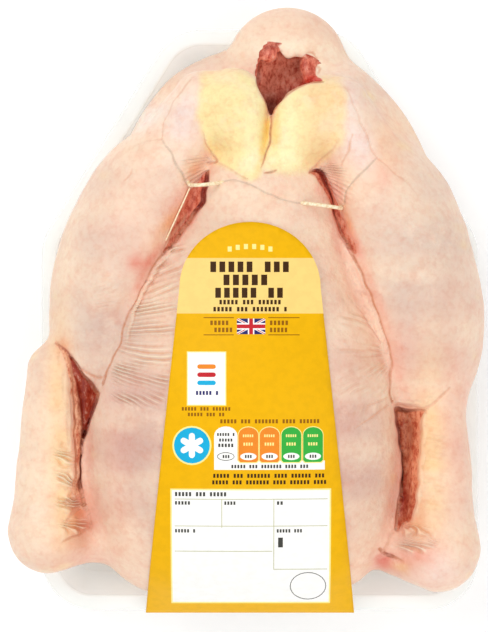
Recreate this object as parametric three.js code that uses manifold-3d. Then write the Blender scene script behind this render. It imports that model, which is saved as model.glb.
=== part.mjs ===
// A whole raw chicken, breast up in its clear retail tray, with a trussing elastic round
// the drumsticks and a paper label over the breast. Millimetres, +Z up, tail towards +Y.
// The origin is the middle of the tray's underside.
import * as THREE from "three";
import { mergeVertices } from "three/addons/utils/BufferGeometryUtils.js";
import Module from "manifold-3d";

const wasm = await Module();
wasm.setup();

// Tray: a six-sided plan with rounded corners, leaning walls and a flat rim with a lip.
const TRAY_CORNERS = [[-88, -117], [-88, 32], [-35, 117], [35, 117], [88, 32], [88, -117]];
const TRAY_CORNER_RADIUS = 21;
const TRAY_CORNER_STEPS = 5;
const TRAY_HEIGHT = 26;
const TRAY_WALL = 1;
const TRAY_RIM = 5.5;
const TRAY_LEAN = 8;
const TRAY_LIP = 3;

// Gaps that keep neighbouring pieces from touching.
const TRAY_GAP = 0.4;

// The bird's mesh: the size of a cell, and the box that the cells fill.
const CELL = 5.5;
const BIRD_LOW = [-112, -128, -34];
const BIRD_HIGH = [96, 131, 97];

// How softly the bird's parts run into each other.
const SOFTNESS = { pelvis: 9, tail: 5.5, legs: 8, wings: 6, cavity: 4.5, hocks: 8, betweenHocks: 2.5 };

// How a surface is searched for: the heights between which it lies, the step down and the halvings
// that follow, and the reach, passes and least slope with which a vertex is drawn onto it.
const SEARCH = { low: 15, high: 120, step: 2, halvings: 24 };
const SETTLE = { reach: 0.3, passes: 3, leastSlope: 0.3 };

// A cell's margin that its vertex keeps, and the depth of a filled corner, as shares of the cell.
const CELL_MARGIN = 0.1;
const FILL_DEPTH = 0.1;

// Vertices closer than this are one.
const MERGE_DISTANCE = 1e-4;

// Label: an arch on a flared sheet, in plan, pulled tight from the breast to the tray's front rim.
const LABEL = {
  middle: -4,
  archHalfWidth: 28,
  archHeight: 26,
  archFoot: 13,
  frontHalfWidth: 42,
  front: -118,
  thickness: 0.5,
  gap: 1.1,
  straightRows: 28,
  archRows: 9,
  lastAngle: 1.42,
  rowSpread: 1.5,
  columns: 14,
};

// Elastic: the places that it passes in plan, from the left drumstick's outer side over the
// breast's tip to the right drumstick's outer side.
const ELASTIC = {
  radius: 0.8,
  gap: 0.7,
  sides: 8,
  steps: 56,
  samples: 56,
  places: [
    [-38.5, 73],
    [-34, 64],
    [-28, 53.5],
    [-18, 54.5],
    [-7, 56],
    [3.5, 51],
    [18.5, 46.5],
    [31.5, 45],
    [37, 55],
    [45, 63.5],
  ],
};

// Distance functions. A point is [x, y, z]; inside is negative.
function ellipsoid(point, { at, half, turn = 0, pitch = 0 }) {
  const radians = Math.PI / 180;
  let [x, y, z] = point.map((value, axis) => value - at[axis]);
  const [ct, st] = [Math.cos(turn * radians), Math.sin(turn * radians)];
  [x, y] = [ct * x + st * y, ct * y - st * x];
  const [cp, sp] = [Math.cos(pitch * radians), Math.sin(pitch * radians)];
  [y, z] = [cp * y + sp * z, cp * z - sp * y];
  const [a, b, c] = half;
  const k0 = Math.hypot(x / a, y / b, z / c);
  const k1 = Math.hypot(x / (a * a), y / (b * b), z / (c * c)) + 1e-9;
  return (k0 * (k0 - 1)) / k1;
}

function limb(point, { from, to, radii }) {
  const along = to.map((value, axis) => value - from[axis]);
  const offset = point.map((value, axis) => value - from[axis]);
  const length2 = along.reduce((sum, value) => sum + value * value, 0);
  const dot = offset.reduce((sum, value, axis) => sum + value * along[axis], 0);
  const share = Math.min(1, Math.max(0, dot / length2));
  const away = offset.map((value, axis) => value - share * along[axis]);
  return Math.hypot(...away) - (radii[0] + (radii[1] - radii[0]) * share);
}

function blend(softness, ...distances) {
  return distances.reduce((a, b) => {
    const h = Math.max(softness - Math.abs(a - b), 0) / softness;
    return Math.min(a, b) - (h * h * softness) / 4;
  });
}

function carve(softness, distance, hole) {
  return -blend(softness, -distance, hole);
}

// The bird, part by part.
function torso(p) {
  return blend(
    17.5,
    ellipsoid(p, { at: [-7, -37, 35], half: [64, 73, 53], turn: -3, pitch: 5 }),
    ellipsoid(p, { at: [0, 19.5, 37], half: [37, 53, 36], turn: -3 }),
    ellipsoid(p, { at: [-38.5, -75.5, 32.5], half: [29, 33.5, 27.5] }),
    ellipsoid(p, { at: [24.5, -75.5, 32.5], half: [29, 33.5, 27.5] }),
    ellipsoid(p, { at: [1, 54.5, 49.5], half: [21, 15, 12.5], pitch: -12 }),
  );
}

function pelvis(p) {
  return blend(
    8,
    ellipsoid(p, { at: [5.5, 56.5, 21], half: [62.5, 54.5, 31], turn: -3 }),
    limb(p, { from: [29, 87.5, 35], to: [59, 46, 36], radii: [17, 18] }),
  );
}

function tail(p) {
  return ellipsoid(p, { at: [11, 103, 23], half: [24.5, 23.5, 21.5], pitch: 10 });
}

function leftLeg(p) {
  return blend(
    10.5,
    ellipsoid(p, { at: [-58, 19.5, 33.5], half: [24.5, 53, 29], turn: -14 }),
    ellipsoid(p, { at: [-50, 37, 44], half: [20, 38.5, 21], turn: -22, pitch: 6 }),
    limb(p, { from: [-42, 56.5, 47.5], to: [-23, 88, 53], radii: [16, 12] }),
  );
}

function rightLeg(p) {
  return blend(
    10.5,
    ellipsoid(p, { at: [61.5, 11.5, 33.5], half: [27.5, 54.5, 30], turn: 9 }),
    ellipsoid(p, { at: [54.5, 31.5, 44], half: [22, 42, 22], turn: 14, pitch: 5 }),
    limb(p, { from: [47.5, 54.5, 47.5], to: [31.5, 84.5, 53], radii: [16, 12.5] }),
  );
}

function leftHock(p) {
  return blend(
    5.5,
    ellipsoid(p, { at: [-10.5, 86, 54.5], half: [13.5, 15, 13] }),
    limb(p, { from: [-9.5, 82.5, 56.5], to: [-1.5, 60.5, 56.5], radii: [12.5, 6] }),
  );
}

function rightHock(p) {
  return blend(
    5.5,
    ellipsoid(p, { at: [19.5, 81, 54.5], half: [15, 16, 13], turn: -12 }),
    limb(p, { from: [16, 79, 55.5], to: [4.5, 60.5, 55.5], radii: [13, 7] }),
  );
}

function leftWing(p) {
  return blend(
    6,
    limb(p, { from: [-82, -20, 41], to: [-85.5, -84.5, 41.5], radii: [11, 15] }),
    limb(p, { from: [-73, -17, 31.5], to: [-60, -81, 30], radii: [9, 13] }),
    limb(p, { from: [-84.5, -86, 40.5], to: [-68.5, -87, 33.5], radii: [14, 10.5] }),
  );
}

function rightWing(p) {
  return blend(
    6,
    limb(p, { from: [71.5, -31.5, 40.5], to: [72, -90, 42], radii: [10.5, 15] }),
    limb(p, { from: [65, -26.5, 26.5], to: [54.5, -81, 28], radii: [9, 13] }),
    limb(p, { from: [71.5, -93.5, 40.5], to: [56.5, -91.5, 33.5], radii: [16, 11.5] }),
  );
}

function cavity(p) {
  return blend(
    4.5,
    limb(p, { from: [13, 91.5, 40.5], to: [2, 26.5, 37], radii: [12.5, 19.5] }),
    ellipsoid(p, { at: [13, 94, 51], half: [15, 13, 21] }),
    ellipsoid(p, { at: [6, 104.5, 44], half: [5.5, 6, 8] }),
  );
}

function bird(p) {
  let body = blend(SOFTNESS.pelvis, torso(p), pelvis(p));
  body = blend(SOFTNESS.tail, body, tail(p));
  body = blend(SOFTNESS.legs, body, leftLeg(p), rightLeg(p));
  body = blend(SOFTNESS.wings, body, leftWing(p), rightWing(p));
  body = carve(SOFTNESS.cavity, body, cavity(p));
  const hocks = blend(SOFTNESS.betweenHocks, leftHock(p), rightHock(p));
  return blend(SOFTNESS.hocks, body, hocks);
}

// The height over (x, y) at which a surface lies a given distance off, searched from above.
function heightOver(surface, x, y, offset) {
  let { low, high } = SEARCH;
  for (let z = high; z > low; z -= SEARCH.step) {
    if (surface([x, y, z]) < offset) {
      low = z;
      break;
    }
    high = z;
  }
  for (let step = 0; step < SEARCH.halvings; step += 1) {
    const middle = (low + high) / 2;
    if (surface([x, y, middle]) < offset) low = middle;
    else high = middle;
  }
  return high;
}

// The heights of a string pulled tight over a profile of [place, height] points.
function upperHull(profile) {
  const hull = [];
  const slope = (a, b) => (b[1] - a[1]) / (b[0] - a[0]);
  for (const point of profile) {
    while (hull.length > 1 && slope(hull.at(-2), hull.at(-1)) <= slope(hull.at(-1), point)) {
      hull.pop();
    }
    hull.push(point);
  }
  return profile.map(([place]) => {
    const next = Math.max(1, hull.findIndex((point) => point[0] >= place));
    const [from, to] = [hull[next - 1], hull[next]];
    return THREE.MathUtils.mapLinear(place, from[0], to[0], from[1], to[1]);
  });
}

// A grid of the surface's values over a box, and the walk over its cells.
function sampleGrid(surface, low, high, cell) {
  const count = low.map((value, axis) => Math.ceil((high[axis] - value) / cell) + 1);
  const values = new Float32Array(count[0] * count[1] * count[2]);
  const index = (i, j, k) => (k * count[1] + j) * count[0] + i;
  const place = (i, j, k) => [low[0] + i * cell, low[1] + j * cell, low[2] + k * cell];
  for (let k = 0; k < count[2]; k += 1)
    for (let j = 0; j < count[1]; j += 1)
      for (let i = 0; i < count[0]; i += 1) values[index(i, j, k)] = surface(place(i, j, k));
  return { count, values, index, place, cell };
}

const CORNERS = [0, 1, 2, 3, 4, 5, 6, 7].map((n) => [n & 1, (n >> 1) & 1, (n >> 2) & 1]);
const EDGES = [];
CORNERS.forEach((a, m) =>
  CORNERS.forEach((b, n) => {
    const apart = Math.abs(a[0] - b[0]) + Math.abs(a[1] - b[1]) + Math.abs(a[2] - b[2]);
    if (m < n && apart === 1) EDGES.push([m, n]);
  }),
);

// True if all the corners with this sign hang together along the cell's edges.
function oneGroup(inside, wanted) {
  const group = new Set([inside.indexOf(wanted)]);
  const passes = CORNERS.length - 1;
  for (let pass = 0; pass < passes; pass += 1)
    for (const [m, n] of EDGES)
      if (inside[m] === wanted && inside[n] === wanted && (group.has(m) || group.has(n))) {
        group.add(m);
        group.add(n);
      }
  return group.size === inside.filter((value) => value === wanted).length;
}

// True if one of the cell's faces has its inside corners on a diagonal.
function crossedFace(inside) {
  return [0, 1, 2].some((axis) =>
    [0, 1].some((side) => {
      const face = CORNERS.map((c, n) => n).filter((n) => CORNERS[n][axis] === side);
      const [a, b, c, d] = face.map((n) => inside[n]);
      return a === d && b === c && a !== b;
    }),
  );
}

// Fills each cell where two sheets of the surface would meet in one point, until none is left.
function closePinches(grid) {
  const { count, values, index, cell } = grid;
  for (let changed = true; changed; ) {
    changed = false;
    for (let k = 0; k < count[2] - 1; k += 1)
      for (let j = 0; j < count[1] - 1; j += 1)
        for (let i = 0; i < count[0] - 1; i += 1) {
          const corners = CORNERS.map(([a, b, c]) => index(i + a, j + b, k + c));
          const inside = corners.map((n) => values[n] < 0);
          if (inside.every((value) => value === inside[0])) continue;
          if (oneGroup(inside, true) && oneGroup(inside, false) && !crossedFace(inside)) continue;
          for (const n of corners) if (values[n] >= 0) values[n] = -cell * FILL_DEPTH;
          changed = true;
        }
  }
}

// One vertex a cell, at the middle of its edges' crossings and then drawn onto the surface.
function cellVertex(grid, surface, i, j, k) {
  const { values, index, place, cell } = grid;
  const corners = CORNERS.map(([a, b, c]) => [index(i + a, j + b, k + c), place(i + a, j + b, k + c)]);
  const middle = new THREE.Vector3();
  let crossings = 0;
  for (const [m, n] of EDGES) {
    const [va, vb] = [values[corners[m][0]], values[corners[n][0]]];
    if (va < 0 === vb < 0) continue;
    const share = va / (va - vb);
    middle.add(new THREE.Vector3(...corners[m][1]).lerp(new THREE.Vector3(...corners[n][1]), share));
    crossings += 1;
  }
  if (crossings === 0) return null;
  middle.divideScalar(crossings);
  const margin = cell * CELL_MARGIN;
  const low = new THREE.Vector3(...corners[0][1]).addScalar(margin);
  const high = new THREE.Vector3(...corners[7][1]).subScalar(margin);
  const { reach, passes, leastSlope } = SETTLE;
  for (let pass = 0; pass < passes; pass += 1) {
    const here = middle.toArray();
    const slope = new THREE.Vector3(
      ...[0, 1, 2].map((axis) => {
        const ahead = here.map((value, n) => value + (n === axis ? reach : 0));
        const behind = here.map((value, n) => value - (n === axis ? reach : 0));
        return (surface(ahead) - surface(behind)) / (2 * reach);
      }),
    );
    const stride = -surface(here) / Math.max(slope.lengthSq(), leastSlope);
    middle.addScaledVector(slope, stride).clamp(low, high);
  }
  return middle;
}

// A closed mesh of the surface, with one vertex a cell and two triangles for each crossed edge.
function surfaceNet(surface, low, high, cell) {
  const grid = sampleGrid(surface, low, high, cell);
  closePinches(grid);
  const { count, values, index } = grid;
  const positions = [];
  const vertexOf = new Map();
  for (let k = 0; k < count[2] - 1; k += 1)
    for (let j = 0; j < count[1] - 1; j += 1)
      for (let i = 0; i < count[0] - 1; i += 1) {
        const vertex = cellVertex(grid, surface, i, j, k);
        if (!vertex) continue;
        vertexOf.set(index(i, j, k), positions.length / 3);
        positions.push(...vertex.toArray());
      }
  const at = (n) => new THREE.Vector3().fromArray(positions, 3 * n);
  const faces = [];
  for (let k = 1; k < count[2] - 1; k += 1)
    for (let j = 1; j < count[1] - 1; j += 1)
      for (let i = 1; i < count[0] - 1; i += 1) {
        const here = values[index(i, j, k)] < 0;
        const around = [
          [index(i + 1, j, k), [[0, 0, 0], [0, -1, 0], [0, -1, -1], [0, 0, -1]]],
          [index(i, j + 1, k), [[0, 0, 0], [0, 0, -1], [-1, 0, -1], [-1, 0, 0]]],
          [index(i, j, k + 1), [[0, 0, 0], [-1, 0, 0], [-1, -1, 0], [0, -1, 0]]],
        ];
        for (const [next, cells] of around) {
          if (here === values[next] < 0) continue;
          const quad = cells.map(([a, b, c]) => vertexOf.get(index(i + a, j + b, k + c)));
          if (here) quad.reverse();
          const [a, b, c, d] = quad;
          const shortAC = at(a).distanceTo(at(c)) < at(b).distanceTo(at(d));
          faces.push(...(shortAC ? [a, c, b, a, d, c] : [a, d, b, b, d, c]));
        }
      }
  const geometry = new THREE.BufferGeometry();
  geometry.setAttribute("position", new THREE.Float32BufferAttribute(positions, 3));
  geometry.setIndex(faces);
  return geometry;
}

// A three.js geometry as a solid that can be cut, and back.
function solidOf(geometry) {
  const bare = geometry.clone();
  bare.deleteAttribute("normal");
  bare.deleteAttribute("uv");
  const merged = mergeVertices(bare, MERGE_DISTANCE);
  return new wasm.Manifold(
    new wasm.Mesh({
      numProp: 3,
      vertProperties: merged.attributes.position.array,
      triVerts: new Uint32Array(merged.index.array),
    }),
  );
}

function geometryOf(solid) {
  const mesh = solid.getMesh();
  const geometry = new THREE.BufferGeometry();
  geometry.setAttribute("position", new THREE.BufferAttribute(mesh.vertProperties, 3));
  geometry.setIndex(new THREE.BufferAttribute(mesh.triVerts, 1));
  geometry.computeVertexNormals();
  return geometry;
}

// The tray's plan outline, anticlockwise, moved inwards by an inset; its corners stay arcs.
function trayOutline(inset) {
  const corners = TRAY_CORNERS.map(([x, y]) => new THREE.Vector2(x, y)).reverse();
  const points = [];
  corners.forEach((corner, n) => {
    const before = corners[(n + corners.length - 1) % corners.length];
    const after = corners[(n + 1) % corners.length];
    const along = [corner.clone().sub(before).normalize(), after.clone().sub(corner).normalize()];
    const normals = along.map((way) => new THREE.Vector2(way.y, -way.x));
    const reach = TRAY_CORNER_RADIUS / (1 + normals[0].dot(normals[1]));
    const centre = corner.clone().sub(normals[0].clone().add(normals[1]).multiplyScalar(reach));
    const start = normals[0].angle();
    const turn = Math.acos(normals[0].dot(normals[1]));
    for (let step = 0; step <= TRAY_CORNER_STEPS; step += 1) {
      const angle = start + (turn * step) / TRAY_CORNER_STEPS;
      const radius = TRAY_CORNER_RADIUS - inset;
      points.push([centre.x + radius * Math.cos(angle), centre.y + radius * Math.sin(angle)]);
    }
  });
  return points;
}

// A closed solid from rings of points, from the first ring's cap to the last ring's cap.
function loft(rings) {
  const size = rings[0].length;
  const positions = rings.flatMap((ring) => ring.flatMap((point) => point));
  const faces = [];
  for (let ring = 0; ring < rings.length - 1; ring += 1)
    for (let n = 0; n < size; n += 1) {
      const [a, b] = [ring * size + n, ring * size + ((n + 1) % size)];
      faces.push(a, b, b + size, a, b + size, a + size);
    }
  const cap = (ring, facing) => {
    const outline = rings[ring].map(([x, y]) => new THREE.Vector2(x, y));
    for (const [a, b, c] of THREE.ShapeUtils.triangulateShape(outline, [])) {
      const [i, j, k] = [a, b, c].map((n) => ring * size + n);
      faces.push(...(facing > 0 ? [i, j, k] : [i, k, j]));
    }
  };
  cap(0, -1);
  cap(rings.length - 1, 1);
  const geometry = new THREE.BufferGeometry();
  geometry.setAttribute("position", new THREE.Float32BufferAttribute(positions, 3));
  geometry.setIndex(faces);
  geometry.computeVertexNormals();
  return geometry;
}

function trayRing(inset, z) {
  return trayOutline(inset).map(([x, y]) => [x, y, z]);
}

function trayGeometry() {
  const foot = TRAY_RIM + TRAY_LEAN;
  return loft([
    trayRing(foot, 0),
    trayRing(TRAY_RIM, TRAY_HEIGHT - TRAY_WALL),
    trayRing(TRAY_WALL, TRAY_HEIGHT - TRAY_WALL),
    trayRing(TRAY_WALL, TRAY_HEIGHT - TRAY_LIP),
    trayRing(0, TRAY_HEIGHT - TRAY_LIP),
    trayRing(0, TRAY_HEIGHT),
    trayRing(TRAY_RIM + TRAY_WALL, TRAY_HEIGHT),
    trayRing(foot + TRAY_WALL, TRAY_WALL),
  ]);
}

// The space that the tray and its rim take from the bird: a block with the tray's inside cut out.
function trayKeepOut() {
  const foot = TRAY_RIM + TRAY_LEAN;
  const top = TRAY_HEIGHT + TRAY_GAP;
  const [width, depth] = [400, 60];
  const block = new THREE.BoxGeometry(width, width, depth);
  block.translate(0, 0, top - depth / 2);
  const slope = TRAY_LEAN / (TRAY_HEIGHT - TRAY_WALL);
  const above = 5;
  const inside = loft([
    trayRing(foot + TRAY_WALL + TRAY_GAP, TRAY_WALL + TRAY_GAP),
    trayRing(TRAY_RIM + TRAY_WALL + TRAY_GAP - slope * above, TRAY_HEIGHT + above),
  ]);
  return solidOf(block).subtract(solidOf(inside));
}

function birdGeometry() {
  const net = solidOf(surfaceNet(bird, BIRD_LOW, BIRD_HIGH, CELL));
  const cut = net.subtract(trayKeepOut());
  const pieces = cut.decompose().sort((a, b) => b.volume() - a.volume());
  return geometryOf(pieces[0]);
}

// The label's lines across, each with its place along the bird and its half width.
function labelLines() {
  const { archHalfWidth, archHeight, archFoot, frontHalfWidth, front, lastAngle, rowSpread } = LABEL;
  const lines = [];
  for (let row = 0; row < LABEL.straightRows; row += 1) {
    const share = (row / LABEL.straightRows) ** rowSpread;
    const half = THREE.MathUtils.lerp(frontHalfWidth, archHalfWidth, share);
    lines.push([THREE.MathUtils.lerp(front, archFoot, share), half]);
  }
  for (let row = 0; row <= LABEL.archRows; row += 1) {
    const angle = (lastAngle * row) / LABEL.archRows;
    lines.push([archFoot + archHeight * Math.sin(angle), archHalfWidth * Math.cos(angle)]);
  }
  return lines;
}

function labelGeometry() {
  const { middle, thickness, gap, columns } = LABEL;
  const lines = labelLines();
  const rows = lines.length;
  const sheet = [gap, gap + thickness].map((offset) => {
    const points = lines.map(() => []);
    for (let column = 0; column <= columns; column += 1) {
      const places = lines.map(([y, half]) => [middle + half * ((2 * column) / columns - 1), y]);
      const heights = places.map(([x, y]) => heightOver(bird, x, y, offset));
      heights[0] = TRAY_HEIGHT + offset;
      const hull = upperHull(places.map(([, y], row) => [y, heights[row]]));
      places.forEach(([x, y], row) => points[row].push([x, y, hull[row]]));
    }
    return points.flat();
  });
  const across = columns + 1;
  const layer = rows * across;
  const faces = [];
  const quad = (a, b, c, d) => faces.push(a, b, c, a, c, d);
  for (let row = 0; row < rows - 1; row += 1)
    for (let column = 0; column < columns; column += 1) {
      const n = row * across + column;
      quad(layer + n, layer + n + 1, layer + n + across + 1, layer + n + across);
      quad(n + across, n + across + 1, n + 1, n);
    }
  for (let column = 0; column < columns; column += 1) {
    const last = (rows - 1) * across + column;
    quad(column, column + 1, layer + column + 1, layer + column);
    quad(last + 1, last, layer + last, layer + last + 1);
  }
  for (let row = 0; row < rows - 1; row += 1) {
    const left = row * across;
    const right = left + columns;
    quad(left + across, left, layer + left, layer + left + across);
    quad(right, right + across, layer + right + across, layer + right);
  }
  const geometry = new THREE.BufferGeometry();
  geometry.setAttribute("position", new THREE.Float32BufferAttribute(sheet.flat(2), 3));
  geometry.setIndex(faces);
  geometry.computeVertexNormals();
  return geometry;
}

// The elastic is stretched, so it follows the skin's upper hull.
function stretchedPath(places, samples, clearance) {
  const plan = new THREE.CatmullRomCurve3(places.map(([x, y]) => new THREE.Vector3(x, y, 0)));
  const points = plan.getSpacedPoints(samples);
  points.forEach((point) => {
    point.z = heightOver(bird, point.x, point.y, clearance);
  });
  const hull = upperHull(points.map((point, n) => [n, point.z]));
  return new THREE.CatmullRomCurve3(points.map(({ x, y }, n) => new THREE.Vector3(x, y, hull[n])));
}

function elasticGeometry() {
  const { radius, gap, sides, steps, samples, places } = ELASTIC;
  const section = new THREE.Shape();
  section.absarc(0, 0, radius, 0, 2 * Math.PI);
  const extrudePath = stretchedPath(places, samples, radius + gap);
  return new THREE.ExtrudeGeometry(section, { extrudePath, steps, curveSegments: sides / 2 });
}

function part(name, geometry, look) {
  const mesh = new THREE.Mesh(geometry, new THREE.MeshStandardMaterial({ metalness: 0, ...look }));
  mesh.name = name;
  return mesh;
}

const chicken = new THREE.Group();
chicken.name = "raw_chicken_in_tray";
chicken.add(
  part("chicken", birdGeometry(), { color: 0xf3d2bd, roughness: 0.5 }),
  part("tray", trayGeometry(), { color: 0xeef2ef, roughness: 0.15, transparent: true, opacity: 0.35 }),
  part("elastic", elasticGeometry(), { color: 0xf6e6c8, roughness: 0.6 }),
  part("label", labelGeometry(), { color: 0xf5b90b, roughness: 0.55 }),
);

export default chicken;
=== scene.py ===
import math
from itertools import cycle, islice, product

import bmesh
import bpy
import numpy as np
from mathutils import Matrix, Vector
from mathutils.geometry import delaunay_2d_cdt


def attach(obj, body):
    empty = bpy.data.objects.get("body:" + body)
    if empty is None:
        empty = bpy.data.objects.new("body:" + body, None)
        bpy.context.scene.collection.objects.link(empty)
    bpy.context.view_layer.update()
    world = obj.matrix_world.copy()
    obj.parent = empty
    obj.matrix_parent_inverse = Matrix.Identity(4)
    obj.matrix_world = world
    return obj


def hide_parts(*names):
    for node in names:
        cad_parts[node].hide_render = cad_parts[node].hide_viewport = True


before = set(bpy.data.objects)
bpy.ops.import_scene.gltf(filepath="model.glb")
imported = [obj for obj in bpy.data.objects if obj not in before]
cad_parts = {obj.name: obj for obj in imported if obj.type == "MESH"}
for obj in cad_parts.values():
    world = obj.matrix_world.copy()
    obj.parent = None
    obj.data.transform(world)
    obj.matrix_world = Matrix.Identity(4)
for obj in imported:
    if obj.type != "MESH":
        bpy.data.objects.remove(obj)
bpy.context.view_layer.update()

MM = 0.001


def srgb(red, green, blue):
    """A colour from 0 to 255 as linear values."""
    parts = [value / 255 for value in (red, green, blue)]
    return tuple(v / 12.92 if v <= 0.04045 else ((v + 0.055) / 1.055) ** 2.4 for v in parts)


# Colours of the skin, with the yellow ends of the drumsticks, and of bare flesh.
SKIN = srgb(243, 213, 190)
PEACH = srgb(249, 208, 175)
PINK = srgb(240, 172, 154)
MAUVE = srgb(210, 170, 156)
GREY = srgb(218, 196, 180)
ROSE = srgb(234, 146, 126)
CREAM = srgb(250, 226, 196)
LILAC = srgb(244, 224, 214)
# Pale tint for a painted highlight along the left hip's edge.
HIGHLIGHT_SKIN = srgb(252, 242, 230)
YELLOW_SKIN = srgb(250, 232, 170)
# Golden strips beside the valley between the yellow ends: painted shade.
GOLDEN_SHADE = srgb(246, 206, 112)
PALE_YELLOW = srgb(254, 243, 192)
TAN = srgb(250, 214, 162)
FAT = srgb(254, 240, 214)
# Near-black red used in folds, rims and gaps: the flesh's own dark red with painted shade.
DARK_FLESH_SHADE = srgb(112, 26, 18)
RED_FLESH = srgb(164, 48, 30)
PALE_FLESH = srgb(224, 150, 122)
LOBE_FLESH = srgb(196, 92, 68)
BRIGHT_RED = srgb(206, 52, 34)
ORANGE_SKIN = srgb(238, 170, 122)
BROWN_SKIN = srgb(204, 124, 92)
MIDDLE_FLESH = srgb(206, 110, 86)
# Lighter than the flesh itself: painted light for the vent's hollow.
VENT_FLESH = srgb(240, 150, 124)
GROIN_FLESH = srgb(226, 128, 100)
SHADED_FLESH = srgb(212, 122, 96)
TAN_FLESH = srgb(240, 180, 142)
# Darker flesh in the deepest part of the left armpit's gap: painted shade over the flesh's own red.
DEEP_FLESH_SHADE = srgb(168, 66, 42)
ORANGE_FLESH = srgb(232, 152, 114)

# The photograph's frame: its size in pixels, the pixel over the origin and a pixel's size.
PHOTO_SIZE = (488, 632)
PHOTO_ORIGIN = (260, 320)
PIXEL = 0.4

# Meshing: the size of a cell on the bird, and the box that the cells fill.
# Below FINE_FROM, in the tray, the cells are taller.
CELL = 1.7
COARSE_CELL = 3.5
FINE_FROM = 22
BIRD_LOW = (-106, -116, 0)
BIRD_HIGH = (92, 130, 92)

# Tray sizes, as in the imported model.
TRAY_CORNERS = [(-88, -117), (-88, 32), (-35, 117), (35, 117), (88, 32), (88, -117)]
TRAY_CORNER_RADIUS = 21
TRAY_HEIGHT = 26
TRAY_WALL = 1
TRAY_RIM = 5.5
TRAY_LEAN = 8
TRAY_GAP = 0.5

# Lines on the skin: pixel places along each, with a half width in millimetres. A crease lies between
# two parts, a fold is in one, a thread mark is where the elastic cuts in and a ridge stands proud.
CREASES = {
    "left_groin": [
        (209, 170, 0.2), (207, 178, 0.7), (205, 190, 1.05), (202, 203, 0.9), (193, 215, 0.45),
        (182, 231, 0.3), (172, 245, 0.3), (158, 260, 0.28), (145, 283, 0.28), (136, 302, 0.28),
        (125, 323, 0.28), (120, 346, 0.28), (112, 360, 0.3), (102, 384, 0.4),
    ],
    "right_groin": [
        (308, 174, 0.25), (313, 171, 0.6), (320, 173, 1.0), (326, 185, 1.15), (331, 198, 0.8),
        (334, 212, 0.6), (339, 226, 0.45), (350, 250, 0.4), (364, 280, 0.35), (377, 312, 0.32),
        (387, 340, 0.3), (391, 360, 0.28), (390, 385, 0.28), (392, 402, 0.4),
    ],
    "left_armpit_top": [(57, 343, 0.3), (66, 350, 0.5), (79, 368, 0.5), (93, 388, 0.5), (99, 393, 0.4)],
    "left_armpit_side": [
        (99, 393, 0.4), (95, 403, 0.6), (89, 422, 0.65), (84, 434, 0.65), (81, 450, 0.6), (80, 470, 0.6),
        (80, 486, 0.5), (84, 503, 0.3), (91, 525, 0.2), (95, 540, 0.1),
    ],
    "left_armpit_strip": [(66, 352, 0.25), (72, 375, 0.4), (74, 410, 0.35), (75, 445, 0.4), (75, 475, 0.4)],
    "right_armpit_top": [(397, 409, 0.5), (408, 411, 0.5), (424, 410, 0.3)],
    "right_armpit_side": [
        (396, 409, 0.5), (398, 425, 0.65), (401, 450, 0.65), (403, 470, 0.65), (402, 490, 0.45),
        (399, 510, 0.3), (396, 526, 0.25),
    ],
    "between_hocks": [
        (271, 116, 0.3), (271, 131, 0.42), (269, 146, 0.48), (265, 157, 0.4), (261, 169, 0.2),
    ],
    "slit": [(265, 174, 0.25), (270, 173, 0.5), (276, 171, 0.2)],
    "right_wing_bottom": [(380, 549, 0.3), (386, 554, 0.5), (394, 557, 0.45), (404, 562, 0.12)],
    "left_wing_bottom": [(63, 542, 0.15), (71, 538, 0.28), (81, 534, 0.3), (91, 526, 0.15)],
    "vent_right_rim": [
        (322, 83, 0.2), (310, 84, 0.32), (300, 88, 0.32), (290, 93, 0.38), (281, 101, 0.32),
        (273, 113, 0.35),
    ],
    "vent_left_rim": [(258, 72, 0.1), (258, 83, 0.24), (263, 97, 0.26), (270, 113, 0.3)],
}
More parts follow.
